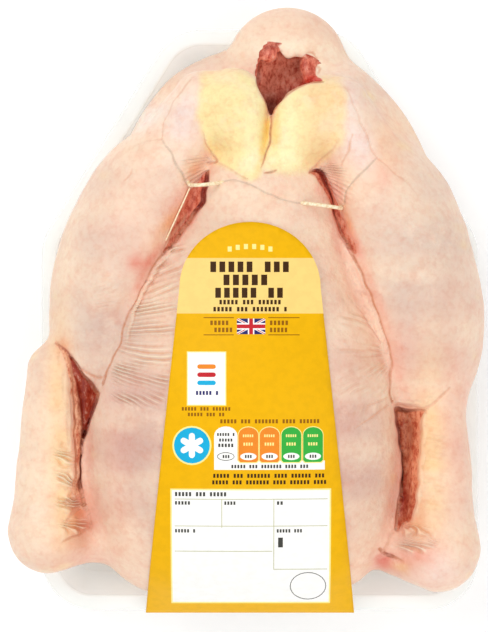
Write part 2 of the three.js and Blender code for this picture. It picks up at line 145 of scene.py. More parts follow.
FOLDS = {
    "right_thigh_edge": [
        (396, 405, 0.3), (410, 408, 0.35), (426, 407, 0.35), (438, 400, 0.3), (450, 388, 0.25),
    ],
    "left_thigh_edge": [(82, 369, 0.25), (90, 374, 0.35), (98, 377, 0.4), (106, 376, 0.25)],
    "left_ridge_foot": [
        (166, 262, 0.2), (152, 283, 0.25), (142, 300, 0.25), (135, 318, 0.2), (130, 338, 0.2),
    ],
    "left_ridge_top": [(187, 215, 0.2), (178, 228, 0.3), (166, 243, 0.2)],
    "left_hock_edge": [
        (202, 132, 0.2), (206, 143, 0.3), (212, 154, 0.42), (217, 162, 0.5), (208, 163, 0.3),
    ],
    "flap_edge": [(219, 164, 0.2), (229, 169, 0.2), (240, 176, 0.25), (247, 180, 0.3)],
    "right_hock_edge": [(339, 140, 0.15), (331, 151, 0.2), (320, 162, 0.25), (309, 172, 0.3)],
    "right_crease": [(352, 135, 0.2), (348, 150, 0.3), (341, 166, 0.2)],
    "vent_flap": [(307, 52, 0.25), (314, 52.5, 0.4), (317, 58, 0.25)],
    "vent_spot": [(317, 67, 0.25), (320, 69, 0.4), (319, 73, 0.2)],
    "left_wing_1": [(63, 504, 0.2), (71, 501, 0.35), (79, 496, 0.3)],
    "left_wing_2": [(67, 523, 0.2), (73, 513, 0.35), (83, 505, 0.3)],
    "right_wing_1": [(403, 524, 0.2), (410, 531, 0.34), (421, 535, 0.26), (432, 536, 0.1)],
    "right_wing_2": [(403, 547, 0.2), (412, 549, 0.3), (422, 552, 0.2)],
    "right_wing_4": [(397, 527, 0.25), (390, 538, 0.3), (384, 551, 0.3)],
    "right_flank_1": [(356, 306, 0.15), (368, 324, 0.25), (380, 342, 0.25)],
    "right_flank_2": [(352, 356, 0.15), (368, 357, 0.2), (382, 354, 0.25)],
    "right_flank_3": [(354, 428, 0.2), (370, 417, 0.3), (388, 405, 0.25)],
    "right_flank_4": [(360, 408, 0.15), (374, 403, 0.25), (387, 397, 0.2)],
    "left_drumstick": [(202, 67, 0.1), (186, 86, 0.2), (172, 108, 0.2), (164, 126, 0.22), (163, 140, 0.2)],
    "left_thigh_top": [(163, 140, 0.2), (150, 142, 0.16), (135, 148, 0.14), (118, 160, 0.05)],
    "right_drumstick": [(337, 80, 0.1), (350, 98, 0.2), (360, 122, 0.2), (370, 148, 0.24), (377, 160, 0.2)],
    "right_thigh_top": [(377, 160, 0.2), (392, 172, 0.2), (406, 184, 0.18), (422, 202, 0.05)],
    "thigh_blemish": [(125, 181, 0.2), (130, 175, 0.3), (132, 170, 0.2)],
}
THREAD_MARKS = {
    "left_wrap": [(163, 140, 0.2), (171, 154, 0.3), (178, 167, 0.3), (189, 186, 0.35)],
    "over_breast": [
        (219, 184, 0.25), (232, 181, 0.25), (246, 185, 0.3), (262, 192, 0.3), (280, 200, 0.3),
        (303, 204, 0.3),
    ],
    "right_wrap": [(344, 206, 0.3), (348, 189, 0.3), (356, 179, 0.35), (370, 165, 0.3), (376, 159, 0.2)],
}
RIDGES = {
    "left_groin": [
        (176, 246, 0.5), (160, 266, 0.8), (146, 288, 0.8), (137, 306, 0.7), (130, 326, 0.4),
        (126, 346, 0.1),
    ],
    "right_groin": [(345, 262, 0.3), (357, 284, 0.6), (368, 306, 0.7), (377, 328, 0.5), (384, 354, 0.1)],
    "right_armpit": [(424, 414, 0.4), (424, 440, 0.7), (421, 480, 0.7), (416, 512, 0.5)],
    "left_armpit": [(60, 350, 0.4), (65, 375, 0.7), (68, 410, 0.6), (70, 450, 0.5)],
    "thigh_foot": [(392, 400, 0.4), (405, 403, 0.7), (420, 403, 0.6), (434, 397, 0.4)],
}

# Bare flesh that shows in the gaps: pixel outlines, each with its colour and how deep it lies.
FLESH_PATCHES = {
    # The vent's flesh colour is made lighter: painted light in its hollow.
    "vent": ([
        (257, 82), (258, 70), (262, 57), (264, 50), (269, 45), (276, 45), (280, 52), (288, 59), (299, 57),
        (308, 57), (315, 61), (317, 74), (322, 82), (312, 83), (303, 86), (294, 90), (286, 95), (276, 108),
        (271, 115), (265, 101), (261, 93),
    ], VENT_FLESH, 0),
    "left_groin": ([
        (208, 172), (207, 180), (206, 192), (203, 203), (196, 213), (188, 224), (180, 236), (170, 248),
        (163, 254), (167, 244), (174, 229), (181, 212), (187, 197), (192, 188), (199, 180), (204, 174),
    ], GROIN_FLESH, 0.7),
    "right_groin": ([
        (309, 173), (316, 170), (324, 174), (331, 184), (336, 198), (340, 207), (345, 222), (352, 240),
        (356, 254), (350, 250), (343, 240), (336, 226), (331, 210), (326, 198), (320, 186), (315, 178),
    ], SHADED_FLESH, 0.6),
    "left_armpit": ([
        (57, 343), (66, 348), (79, 368), (93, 387), (99, 393), (95, 403), (89, 422), (82, 446), (80, 470),
        (80, 494), (73, 492), (74, 460), (72, 420), (70, 385), (65, 362),
    ], TAN_FLESH, 0.3),
    # The deepest part of the left armpit is darkened as painted shade.
    "left_armpit_deep": ([
        (70, 357), (79, 368), (93, 387), (99, 393), (95, 403), (89, 422), (83, 436), (82, 420), (79, 392),
    ], DEEP_FLESH_SHADE, 0.8),
    "right_armpit": ([
        (396, 409), (410, 412), (425, 410), (421, 422), (420, 450), (417, 485), (411, 519), (404, 523),
        (397, 530), (400, 505), (402, 470), (401, 450), (398, 420),
    ], ORANGE_FLESH, 0.9),
}

# Tints over the flesh: a colour, then for each patch its strength, pixel, half sizes and turn.
# The dark flesh tints on the vent's folds and rims and in the left armpit's gap are painted shade over the
# flesh's own red.
FLESH_TINTS = [
    (BRIGHT_RED, (0.9, 313, 79, 4, 1.8), (0.6, 300, 84, 5, 1.5, 20)),
    (DARK_FLESH_SHADE, (0.4, 298, 64, 1.6, 3), (0.7, 272, 104, 3, 4), (0.4, 285, 92, 4, 2, 30)),
    (DARK_FLESH_SHADE, (0.6, 271, 47, 3, 1, 20), (0.4, 259, 75, 0.8, 4)),
    (LOBE_FLESH, (0.9, 309, 67, 3.6, 4), (0.75, 270, 51, 3.4, 3)),
    (BRIGHT_RED, (0.8, 315, 80, 4, 1.4), (0.3, 281, 95, 3, 2, 30)),
    (DARK_FLESH_SHADE, (0.3, 77, 480, 1.6, 7)),
    (RED_FLESH, (0.9, 404, 500, 2.6, 10), (0.4, 400, 455, 1.6, 14)),
    (PALE_FLESH, (0.8, 347, 232, 2.2, 8, 20), (0.6, 178, 232, 3, 8, -38)),
]

# Tints over the yellow ends, in the same way, with the end that they lie on.
YELLOW_TINTS = [
    (PALE_YELLOW, "both", (0.75, 251, 155, 3, 16), (0.7, 256, 105, 3, 9)),
    (PALE_YELLOW, "both", (0.7, 288, 125, 5, 14), (0.9, 282, 160, 9, 5)),
    # The golden strips along the valley between the two ends are painted shade.
    (GOLDEN_SHADE, "left", (0.95, 264, 142, 1.8, 11, -8), (0.5, 268, 128, 1.5, 8)),
    (GOLDEN_SHADE, "right", (0.6, 275, 130, 1.8, 10)),
    (PEACH, "left", (0.5, 215, 70, 10, 3)),
]

# The pixel columns between which the right yellow end turns tan.
TAN_FROM = (290, 318)

# Where the wings' skin is folded: pixel and half sizes in millimetres.
WING_FOLDS = [(74, 515, 7, 16), (408, 545, 10, 14)]

# The two yellow ends of the drumsticks, and where the skin is finely wrinkled.
LEFT_YELLOW = [
    (200, 66), (218, 66), (238, 67), (252, 73), (263, 98), (271, 116), (270, 142), (261, 172), (254, 182),
    (240, 179), (219, 165), (207, 147), (200, 122),
]
RIGHT_YELLOW = [
    (271, 116), (282, 97), (303, 84), (322, 80), (338, 86), (345, 108), (341, 136), (328, 155), (311, 170),
    (288, 173), (266, 170), (264, 162), (271, 140),
]
LEFT_FLANK = [
    (170, 244), (188, 250), (182, 300), (177, 350), (168, 398), (146, 412), (112, 400), (110, 370),
    (124, 332), (136, 300), (152, 268),
]
RIGHT_FLANK = [
    (340, 300), (362, 306), (382, 340), (391, 372), (389, 402), (368, 430), (344, 436), (334, 380),
]
RIGHT_WING_RIDGE = [
    (422, 416), (438, 412), (446, 440), (444, 500), (436, 510), (418, 508), (418, 480), (421, 450),
]
LEFT_KNEE = [(182, 160), (200, 156), (214, 160), (206, 172), (202, 178), (188, 188), (181, 176)]
RIGHT_KNEE = [(318, 170), (334, 164), (350, 178), (352, 200), (342, 206), (334, 194)]
LEFT_WING_FOLDS = [
    (54, 446), (66, 440), (75, 462), (78, 492), (88, 508), (91, 524), (80, 538), (64, 538), (56, 505),
]
LEFT_THIGH_FOOT = [(88, 284), (106, 276), (119, 280), (124, 292), (116, 306), (104, 312), (90, 304)]
RIGHT_WING_FOLDS = [(400, 528), (414, 522), (434, 527), (440, 540), (426, 556), (404, 556), (392, 544)]

# Elastic: the pixels that it passes, with how far it sinks into the skin there. It is sunk by about
# its own width where the skin closes over it.
ELASTIC_RADIUS = 0.75
ELASTIC = [
    (165, 142, 2.8), (171, 154, 2.8), (181, 171, 2.7), (187, 181, 2.2), (190, 185.5, 0.6), (196, 186, 0.0),
    (206, 185.3, 0.0), (216, 184, 0.5), (223, 182.7, 1.8), (230, 182, 2.6), (258, 190, 2.6),
    (280, 200, 2.6), (296, 202.5, 2.4), (302, 203.5, 0.9), (310, 204.5, 0.1), (322, 206, 0.0),
    (336, 208, 0.2), (341, 208.5, 0.8), (344, 203, 2.4), (352, 185, 2.7), (361, 176, 2.7), (374, 163, 2.8),
]
ELASTIC_TAIL = [
    (190, 188, 0.3), (187, 195, 0.4), (182, 206, 0.4), (176, 219, 0.5), (171, 230, 0.7), (166, 241, 1.1),
]

# Label outline in plan.
LABEL_MIDDLE = -4
LABEL_ARCH_HALF_WIDTH = 28
LABEL_ARCH_HEIGHT = 26
LABEL_ARCH_FOOT = 13
LABEL_FRONT_HALF_WIDTH = 42
LABEL_FRONT = -118
LABEL_THICKNESS = 0.3
LABEL_GAP = 0.7


def in_plan(px, py):
    """The place in plan, in millimetres, under a pixel of the photograph."""
    return (px - PHOTO_ORIGIN[0]) * PIXEL, (PHOTO_ORIGIN[1] - py) * PIXEL


def smoothstep(low, high, value):
    share = np.clip((value - low) / (high - low), 0, 1)
    return share * share * (3 - 2 * share)


# Distance functions: points are rows of x, y, z, and inside is negative.
def ellipsoid(p, at, half, turn=0.0, pitch=0.0):
    q = p - np.asarray(at, np.float32)
    x, y, z = q[:, 0], q[:, 1], q[:, 2]
    c, s = math.cos(math.radians(turn)), math.sin(math.radians(turn))
    x, y = c * x + s * y, c * y - s * x
    c, s = math.cos(math.radians(pitch)), math.sin(math.radians(pitch))
    y, z = c * y + s * z, c * z - s * y
    a, b, d = half
    k0 = np.sqrt((x / a) ** 2 + (y / b) ** 2 + (z / d) ** 2)
    k1 = np.sqrt((x / a**2) ** 2 + (y / b**2) ** 2 + (z / d**2) ** 2) + 1e-9
    return k0 * (k0 - 1) / k1


def limb(p, start, end, start_radius, end_radius):
    start = np.asarray(start, np.float32)
    along = np.asarray(end, np.float32) - start
    offset = p - start
    share = np.clip(offset @ along / float(along @ along), 0, 1)
    away = np.linalg.norm(offset - share[:, None] * along, axis=1)
    return away - (start_radius + (end_radius - start_radius) * share)


def blend(softness, *distances):
    out = distances[0]
    for other in distances[1:]:
        h = np.maximum(softness - np.abs(out - other), 0) / softness
        out = np.minimum(out, other) - h * h * softness / 4
    return out


def carve(softness, distance, hole):
    return -blend(softness, -distance, hole)


# The bird, part by part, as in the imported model.
def torso(p):
    return blend(
        17.5,
        ellipsoid(p, (-7, -37, 35), (64, 73, 53), turn=-3, pitch=5),
        ellipsoid(p, (0, 19.5, 37), (37, 53, 36), turn=-3),
        ellipsoid(p, (-38.5, -75.5, 32.5), (29, 33.5, 27.5)),
        ellipsoid(p, (24.5, -75.5, 32.5), (29, 33.5, 27.5)),
        ellipsoid(p, (1, 54.5, 49.5), (21, 15, 12.5), pitch=-12),
    )


def pelvis(p):
    return blend(
        8,
        ellipsoid(p, (5.5, 56.5, 21), (62.5, 54.5, 31), turn=-3),
        limb(p, (29, 87.5, 35), (59, 46, 36), 17, 18),
    )


def tail(p):
    return ellipsoid(p, (11, 103, 23), (24.5, 23.5, 21.5), pitch=10)


def left_leg(p):
    return blend(
        10.5,
        ellipsoid(p, (-58, 19.5, 33.5), (24.5, 53, 29), turn=-14),
        ellipsoid(p, (-50, 37, 44), (20, 38.5, 21), turn=-22, pitch=6),
        limb(p, (-42, 56.5, 47.5), (-23, 88, 53), 16, 12),
    )


def right_leg(p):
    return blend(
        10.5,
        ellipsoid(p, (61.5, 11.5, 33.5), (27.5, 54.5, 30), turn=9),
        ellipsoid(p, (54.5, 31.5, 44), (22, 42, 22), turn=14, pitch=5),
        limb(p, (47.5, 54.5, 47.5), (31.5, 84.5, 53), 16, 12.5),
    )


def left_hock(p):
    return blend(
        5.5,
        ellipsoid(p, (-10.5, 86, 54.5), (13.5, 15, 13)),
        limb(p, (-9.5, 82.5, 56.5), (-1.5, 60.5, 56.5), 12.5, 6),
    )


def right_hock(p):
    return blend(
        5.5,
        ellipsoid(p, (19.5, 81, 54.5), (15, 16, 13), turn=-12),
        limb(p, (16, 79, 55.5), (4.5, 60.5, 55.5), 13, 7),
    )


def left_wing(p):
    return blend(
        6,
        limb(p, (-82, -20, 41), (-85.5, -84.5, 41.5), 11, 15),
        limb(p, (-73, -17, 31.5), (-60, -81, 30), 9, 13),
        limb(p, (-84.5, -86, 40.5), (-68.5, -87, 33.5), 14, 10.5),
    )


def right_wing(p):
    return blend(
        6,
        limb(p, (71.5, -31.5, 40.5), (72, -90, 42), 10.5, 15),
        limb(p, (65, -26.5, 26.5), (54.5, -81, 28), 9, 13),
        limb(p, (71.5, -93.5, 40.5), (56.5, -91.5, 33.5), 16, 11.5),
    )


def cavity(p):
    return blend(
        4.5,
        limb(p, (13, 91.5, 40.5), (2, 26.5, 37), 12.5, 19.5),
        ellipsoid(p, (13, 94, 51), (15, 13, 21)),
        ellipsoid(p, (6, 104.5, 44), (5.5, 6, 8)),
    )


def hocks(p):
    return blend(1.2, left_hock(p), right_hock(p))


def body(p):
    form = blend(9, torso(p), pelvis(p))
    form = blend(5.5, form, tail(p))
    form = blend(4.5, form, left_leg(p), right_leg(p))
    return blend(6.5, form, left_wing(p), right_wing(p))


def bird_form(p):
    return blend(4, carve(3, body(p), cavity(p)), hocks(p))


def plan_distance(x, y):
    """Signed distance to the tray's rounded outline in plan."""
    points = np.array(TRAY_CORNERS, float)
    ahead = np.roll(points, -1, axis=0)
    along = ahead - points
    along /= np.linalg.norm(along, axis=1)[:, None]
    outward = np.stack([-along[:, 1], along[:, 0]], 1)
    inner = []
    for n in range(len(points)):
        before, after = outward[n - 1], outward[n]
        reach = TRAY_CORNER_RADIUS / (1 + before @ after)
        inner.append(points[n] - (before + after) * reach)
    inner = np.array(inner)
    q = np.stack([x, y], 1)
    inside = np.full(len(q), -1e9)
    outside = np.full(len(q), 1e9)
    for n in range(len(inner)):
        a, b = inner[n], inner[(n + 1) % len(inner)]
        side = b - a
        share = np.clip((q - a) @ side / (side @ side), 0, 1)
        outside = np.minimum(outside, np.linalg.norm(q - a - share[:, None] * side, axis=1))
        inside = np.maximum(inside, (q - a) @ outward[n])
    return np.where(inside < 0, inside, outside) - TRAY_CORNER_RADIUS


def tray_room(p):
    """Distance to the space that the tray leaves free."""
    rise = np.clip(p[:, 2] / TRAY_HEIGHT, 0, 1)
    inset = TRAY_RIM + TRAY_WALL + TRAY_LEAN * (1 - rise) + TRAY_GAP
    walls = plan_distance(p[:, 0], p[:, 1]) + inset
    above = TRAY_HEIGHT + TRAY_GAP - p[:, 2]
    floor = TRAY_WALL + TRAY_GAP - p[:, 2]
    return np.maximum(np.minimum(walls, above), floor)


def heights_over(surface, x, y, offset=0.0):
    """The heights at which a surface lies a given distance off, searched from above."""
    x, y = np.asarray(x, np.float32), np.asarray(y, np.float32)
    high = np.full(len(x), 110, np.float32)
    low = np.full(len(x), 15, np.float32)
    found = np.zeros(len(x), bool)
    for z in np.arange(108, 15, -2, dtype=np.float32):
        hit = surface(np.stack([x, y, np.full_like(x, z)], 1)) < offset
        low[hit & ~found] = z
        found |= hit
        high[~found] = z
    for _ in range(14):
        middle = (low + high) / 2
        hit = surface(np.stack([x, y, middle], 1)) < offset
        low, high = np.where(hit, middle, low), np.where(hit, high, middle)
    return high


def curve_through(places, closed=False, steps=4):
    """Points along a smooth curve through the places."""
    places = np.asarray(places, float)
    count = len(places)
    index = np.arange(count if closed else count - 1)[:, None] + np.array([-1, 0, 1, 2])
    index = index % count if closed else np.clip(index, 0, count - 1)
    a, b, c, d = (places[index[:, n]][:, None] for n in range(4))
    t = np.linspace(0, 1, steps, endpoint=False)[None, :, None]
    curve = b + 0.5 * ((c - a) * t + (2 * a - 5 * b + 4 * c - d) * t**2 + (3 * b - a - 3 * c + d) * t**3)
    curve = curve.reshape(-1, places.shape[1])
    return curve if closed else np.vstack([curve, places[-1:]])


def near_box(flat, places, reach):
    return ((flat > places.min(0) - reach) & (flat < places.max(0) + reach)).all(1)


def outline_depth(flat, pixels, reach=4.0):
    """How far plan points lie inside a pixel outline, in millimetres, negative outside."""
    corners = curve_through([in_plan(px, py) for px, py in pixels], closed=True)
    out = np.full(len(flat), -reach, np.float32)
    near = near_box(flat, corners, reach)
    q = flat[near]
    nearest = np.full(len(q), 1e9)
    inside = np.zeros(len(q), bool)
    for a, b in zip(corners, np.roll(corners, -1, axis=0)):
        side = b - a
        share = np.clip((q - a) @ side / (side @ side), 0, 1)
        nearest = np.minimum(nearest, np.linalg.norm(q - a - share[:, None] * side, axis=1))
        if a[1] != b[1]:
            crossing = a[0] + (q[:, 1] - a[1]) * side[0] / side[1]
            inside ^= ((a[1] > q[:, 1]) != (b[1] > q[:, 1])) & (q[:, 0] < crossing)
    out[near] = np.clip(np.where(inside, nearest, -nearest), -reach, reach)
    return out


def line_distance(flat, pixels, reach=3.0):
    """Distance to a line of pixels, and the line's half width at the nearest place."""
    places = curve_through([(*in_plan(px, py), width) for px, py, width in pixels])
    away = np.full(len(flat), reach, np.float32)
    width = np.zeros(len(flat), np.float32)
    near = near_box(flat, places[:, :2], reach)
    q, nearest, wide = flat[near], away[near], width[near]
    for a, b in zip(places, places[1:]):
        side = b[:2] - a[:2]
        share = np.clip((q - a[:2]) @ side / (side @ side), 0, 1)
        here = np.linalg.norm(q - a[:2] - share[:, None] * side, axis=1)
        closer = here < nearest
        nearest = np.where(closer, here, nearest)
        wide = np.where(closer, a[2] + (b[2] - a[2]) * share, wide)
    away[near], width[near] = nearest, wide
    return away, width


def lattice_noise(p, size, seed=0):
    """Smooth noise from -1 to 1 with features of the given size."""
    q = p / np.asarray(size, np.float32) + 17.3 * seed
    base = np.floor(q)
    share = q - base
    share = share * share * (3 - 2 * share)
    total = np.zeros(len(p), np.float32)
    for corner in product((0, 1), repeat=3):
        key = (base + corner) @ np.array([12.9898, 78.233, 37.719])
        value = np.modf(np.sin(key) * 43758.5453)[0]
        weight = np.prod(np.where(corner, share, 1 - share), axis=1)
        total += (weight * value).astype(np.float32)
    return total


def ragged(flat):
    """Plan places moved a little, so that lines and edges run unevenly."""
    p = np.column_stack([flat, np.zeros(len(flat), np.float32)])
    return flat + 0.4 * np.stack([lattice_noise(p, 4, 31), lattice_noise(p, 4, 32)], 1)


# Meshing.
def surface_net(field, low, high, cell):
    """Vertices and quads of the surface where the field crosses zero, one vertex a cell."""
    spans = [np.arange(a, b + cell, cell, dtype=np.float32) for a, b in zip(low, high)]
    spans[2] = np.concatenate([np.arange(low[2], FINE_FROM, COARSE_CELL), spans[2][spans[2] > FINE_FROM]])
    shape = tuple(len(span) for span in spans)
    values = near_surface_values(field, spans)
    cells = tuple(n - 1 for n in shape)

    def corner(i, j, k):
        return values[i:i + cells[0], j:j + cells[1], k:k + cells[2]]

    place = np.zeros(cells + (3,), np.float32)
    crossings = np.zeros(cells, np.float32)
    for axis in range(3):
        for a, b in product((0, 1), repeat=2):
            start = [a, b]
            start.insert(axis, 0)
            end = list(start)
            end[axis] = 1
            first, second = corner(*start), corner(*end)
            crossed = (first < 0) != (second < 0)
            share = np.where(crossed, first / np.where(crossed, first - second, 1), 0)
            crossings += crossed
            for way in range(3):
                place[..., way] += crossed * (start[way] + (share if way == axis else 0))
    used = crossings > 0
    index = np.full(cells, -1, np.int64)
    index[used] = np.arange(used.sum())
    steps = np.argwhere(used) + place[used] / crossings[used][:, None]
    vertices = np.stack([np.interp(steps[:, n], np.arange(shape[n]), spans[n]) for n in range(3)], 1)

    quads = []
    for axis in range(3):
        others = [way for way in range(3) if way != axis]
        ahead = np.roll(values, -1, axis=axis)
        crossed = (values < 0) != (ahead < 0)
        crossed[tuple(slice(-1, None) if way == axis else slice(None) for way in range(3))] = False
        where = np.argwhere(crossed)
        where = where[(where[:, others] > 0).all(1) & (where[:, others] < np.array(cells)[others]).all(1)]
        steps = []
        for a, b in ((0, 0), (1, 0), (1, 1), (0, 1)):
            step = np.zeros(3, int)
            step[others[0]], step[others[1]] = -a, -b
            steps.append(index[tuple((where + step).T)])
        ring = np.stack(steps, 1)
        inside = values[tuple(where.T)] < 0
        flip = inside if axis == 1 else ~inside
        ring[flip] = ring[flip][:, ::-1]
        quads.append(ring)
    return vertices.astype(np.float32), np.concatenate(quads)


def near_surface_values(field, spans, stride=4):
    """The field on a grid: exact near the surface, and only its sign elsewhere."""
    picks = [np.unique(np.r_[np.arange(0, len(span), stride), len(span) - 1]) for span in spans]
    coarse = [span[pick] for span, pick in zip(spans, picks)]
    points = np.stack(np.meshgrid(*coarse, indexing="ij"), -1).reshape(-1, 3)
    rough = field(points).reshape([len(span) for span in coarse])
    for axis, (span, pick) in enumerate(zip(spans, picks)):
        nearest = np.abs(np.arange(len(span))[:, None] - pick[None]).argmin(1)
        rough = np.take(rough, nearest, axis=axis)
    reach = 1.3 * stride * max(np.diff(span).max() for span in spans[:2]) + 2
    close = np.argwhere(np.abs(rough) < reach)
    exact = np.stack([spans[axis][close[:, axis]] for axis in range(3)], 1)
    rough[tuple(close.T)] = field(exact)
    return rough


def refined(vertices, faces, wanted, most=2):
    """Splits faces in four, as many times as wanted(places) says."""
    mesh = bpy.data.meshes.new("refining")
    mesh.from_pydata(vertices.tolist(), [], faces.tolist())
    shape = bmesh.new()
    shape.from_mesh(mesh)
    bpy.data.meshes.remove(mesh)
    for level in range(1, most + 1):
        places = np.array([face.calc_center_median() for face in shape.faces], np.float32)
        marked = wanted(places) >= level
        edges = {edge for face, mark in zip(shape.faces, marked) if mark for edge in face.edges}
        ordered = sorted(edges, key=lambda edge: edge.index)
        bmesh.ops.subdivide_edges(shape, edges=ordered, cuts=1, use_grid_fill=True)
        shape.edges.index_update()
    shape.verts.index_update()
    vertices = np.array([vertex.co for vertex in shape.verts], np.float32)
    faces = [[vertex.index for vertex in face.verts] for face in shape.faces]
    shape.free()
    return vertices, faces


def slope_of(field, p, reach=0.4):
    """The field's value and its gradient at the points."""
    here = field(p)
    slope = np.empty_like(p)
    for axis in range(3):
        step = np.zeros(3, np.float32)
        step[axis] = reach
        slope[:, axis] = (field(p + step) - field(p - step)) / (2 * reach)
    return here, slope


def settle(field, p, passes=3, most=0.7):
    """Draws points onto the surface and gives them with their outward normals."""
    for _ in range(passes):
        here, slope = slope_of(field, p)
        size = np.maximum((slope**2).sum(1), 0.3)
        step = np.clip(-here / size, -most, most)
        p = p + slope * step[:, None]
    _, slope = slope_of(field, p)
    return p, slope / np.maximum(np.linalg.norm(slope, axis=1), 1e-6)[:, None]


def mesh_object(name, vertices, faces, smooth=True):
    """An object from millimetre vertices and faces."""
    mesh = bpy.data.meshes.new(name)
    mesh.from_pydata((np.asarray(vertices, float) * MM).tolist(), [], [list(map(int, f)) for f in faces])
    mesh.validate()
    if smooth:
        mesh.shade_smooth()
    obj = bpy.data.objects.new(name, mesh)
    bpy.context.collection.objects.link(obj)
    return obj


def shell_faces(rings, size):
    """Faces between rings of points that follow each other, with both ends closed."""
    faces = []
    for start in range(0, (rings - 1) * size, size):
        for n in range(size):
            a, b = start + n, start + (n + 1) % size
            faces.append((a, b, b + size, a + size))
    last = (rings - 1) * size
    return faces + [tuple(range(size - 1, -1, -1)), tuple(range(last, last + size))]


def give_attribute(obj, name, values):
    """A number or a colour for each vertex."""
    values = np.asarray(values, np.float32)
    if values.ndim == 1:
        obj.data.attributes.new(name, "FLOAT", "POINT").data.foreach_set("value", values)
        return
    layer = obj.data.color_attributes.new(name, "FLOAT_COLOR", "POINT")
    rgba = np.concatenate([values, np.ones((len(values), 1), np.float32)], 1)
    layer.data.foreach_set("color", rgba.ravel())


# Node materials.
class Look:
    """A material, with short ways to add nodes to it. Inputs take a socket, a colour or a number."""

    def __init__(self, name):
        self.material = bpy.data.materials.new(name)
        self.material.use_nodes = True
        self.tree = self.material.node_tree

    def feed(self, socket, value):
        if isinstance(value, bpy.types.NodeSocket):
            self.tree.links.new(value, socket)
        elif isinstance(value, tuple) and socket.type == "RGBA":
            socket.default_value = (*value, 1)
        else:
            socket.default_value = value

    def set(self, name, value):
        self.feed(self.tree.nodes["Principled BSDF"].inputs[name], value)

    def add(self, kind, output, inputs, **settings):
        node = self.tree.nodes.new("ShaderNode" + kind)
        for name, value in settings.items():
            setattr(node, name, value)
        for key, value in inputs.items():
            self.feed(node.inputs[key], value)
        return node.outputs[output]

    def place(self):
        return self.add("TexCoord", "Object", {})

    def attribute(self, name, output="Fac"):
        return self.add("Attribute", output, {}, attribute_name=name)

    def noise(self, place, scale, detail, roughness):
        inputs = {"Vector": place, "Scale": scale, "Detail": detail, "Roughness": roughness}
        return self.add("TexNoise", "Fac", inputs)

    def ramp(self, source, low, high, from_value=0.0, to_value=1.0):
        inputs = {"Value": source, "From Min": low, "From Max": high}
        inputs.update({"To Min": from_value, "To Max": to_value})
        return self.add("MapRange", "Result", inputs, interpolation_type="SMOOTHSTEP")

    def mix(self, factor, first, second, blend_type="MIX"):
        inputs = {"Factor": factor, "A": first, "B": second}
        return self.add("Mix", "Result", inputs, data_type="RGBA", blend_type=blend_type)

    def mix_numbers(self, factor, first, second):
        return self.add("Mix", "Result", {"Factor": factor, "A": first, "B": second})

    def math(self, operation, *values):
        return self.add("Math", "Value", dict(enumerate(values)), operation=operation)

    def bump(self, height, distance, strength, under=None):
        inputs = {"Height": height, "Distance": distance, "Strength": strength}
        if under is not None:
            inputs["Normal"] = under
        return self.add("Bump", "Normal", inputs)


# The bird.
# Each kind of line: its places, its depth as a multiple of its half width and at most, its colours
# where it is narrow and where it is wide, and how strongly they show.
# The crease, fold and thread-mark colours darken the skin into its gaps and grooves: partly the flesh's own
# red, partly painted shade. The pale ridge colour is a painted highlight.
LINE_KINDS = [
    (CREASES, 1.4, 1.0, srgb(208, 140, 106), srgb(124, 22, 8), 0.9),
    (FOLDS, 1.1, 0.5, srgb(226, 166, 134), srgb(150, 70, 44), 0.7),
    (THREAD_MARKS, 1.1, 0.4, srgb(194, 168, 146), srgb(194, 168, 146), 0.65),
    (RIDGES, -0.8, 0.6, srgb(255, 234, 202), srgb(255, 234, 202), 0.3),
]


def pressed_depth(flat):
    """How deep all the lines and gaps press into the skin at plan points."""
    flat = ragged(flat)
    pressed = np.zeros(len(flat))
    for lines, share, most, *_ in LINE_KINDS:
        for pixels in lines.values():
            away, width = line_distance(flat, pixels)
            across = np.clip(away / (width + 0.4), 0, 1)
            pressed += np.clip(share * width, -most, most) * (1 - across * across) ** 2
    for outline, _, depth in FLESH_PATCHES.values():
        pressed += np.clip((outline_depth(flat, outline) + 0.6) * 1.5, 0, depth)
    return pressed


class PlanMap:
    """A smooth function of plan places, worked out once on a fine grid."""

    step = 0.35

    def __init__(self, function):
        self.spans = [np.arange(BIRD_LOW[n] - 2, BIRD_HIGH[n] + 2, self.step) for n in (0, 1)]
        flat = np.stack(np.meshgrid(*self.spans, indexing="ij"), -1).reshape(-1, 2)
        self.values = function(flat).reshape([len(span) for span in self.spans])

    def at(self, p):
        u = [(p[:, n] - self.spans[n][0]) / self.step for n in (0, 1)]
        i = [np.clip(u[n].astype(int), 0, len(self.spans[n]) - 2) for n in (0, 1)]
        f, g = (np.clip(u[n] - i[n], 0, 1) for n in (0, 1))
        v = self.values
        near = v[i[0], i[1]] * (1 - f) + v[i[0] + 1, i[1]] * f
        far = v[i[0], i[1] + 1] * (1 - f) + v[i[0] + 1, i[1] + 1] * f
        return near * (1 - g) + far * g


PRESSED = PlanMap(pressed_depth)
VENT = PlanMap(lambda flat: -outline_depth(ragged(ragged(flat)), FLESH_PATCHES["vent"][0]))
VENT_FLOOR = 36
# Lobes of flesh that stand up from the vent's floor: pixel, half sizes and height in millimetres.
VENT_LOBES = [(269, 53, 3.6, 3.6, 15), (309, 66, 3.6, 4.6, 16), (319, 80, 4.2, 2.0, 34)]


def elastic_places(pixels):
    """The strand's places: stretched tight over the skin, or sunk into it where a sink is given."""
    steps = 6
    line = []
    for (*a, sink_a), (*b, sink_b) in zip(pixels, pixels[1:]):
        for step in range(steps):
            share = step / steps
            place = [a[n] + (b[n] - a[n]) * share for n in (0, 1)]
            line.append([*place, sink_a + (sink_b - sink_a) * share])
    line.append(list(pixels[-1]))
    x, y = np.array([in_plan(px, py) for px, py, _ in line]).T
    skin = heights_over(bird_form, x, y, ELASTIC_RADIUS)
    tight = upper_hull(np.arange(len(line)), skin)
    sink = np.array([sink for *_, sink in line])
    return np.stack([x, y, tight + (skin - tight) * np.clip(sink, 0, 1) - sink], 1)


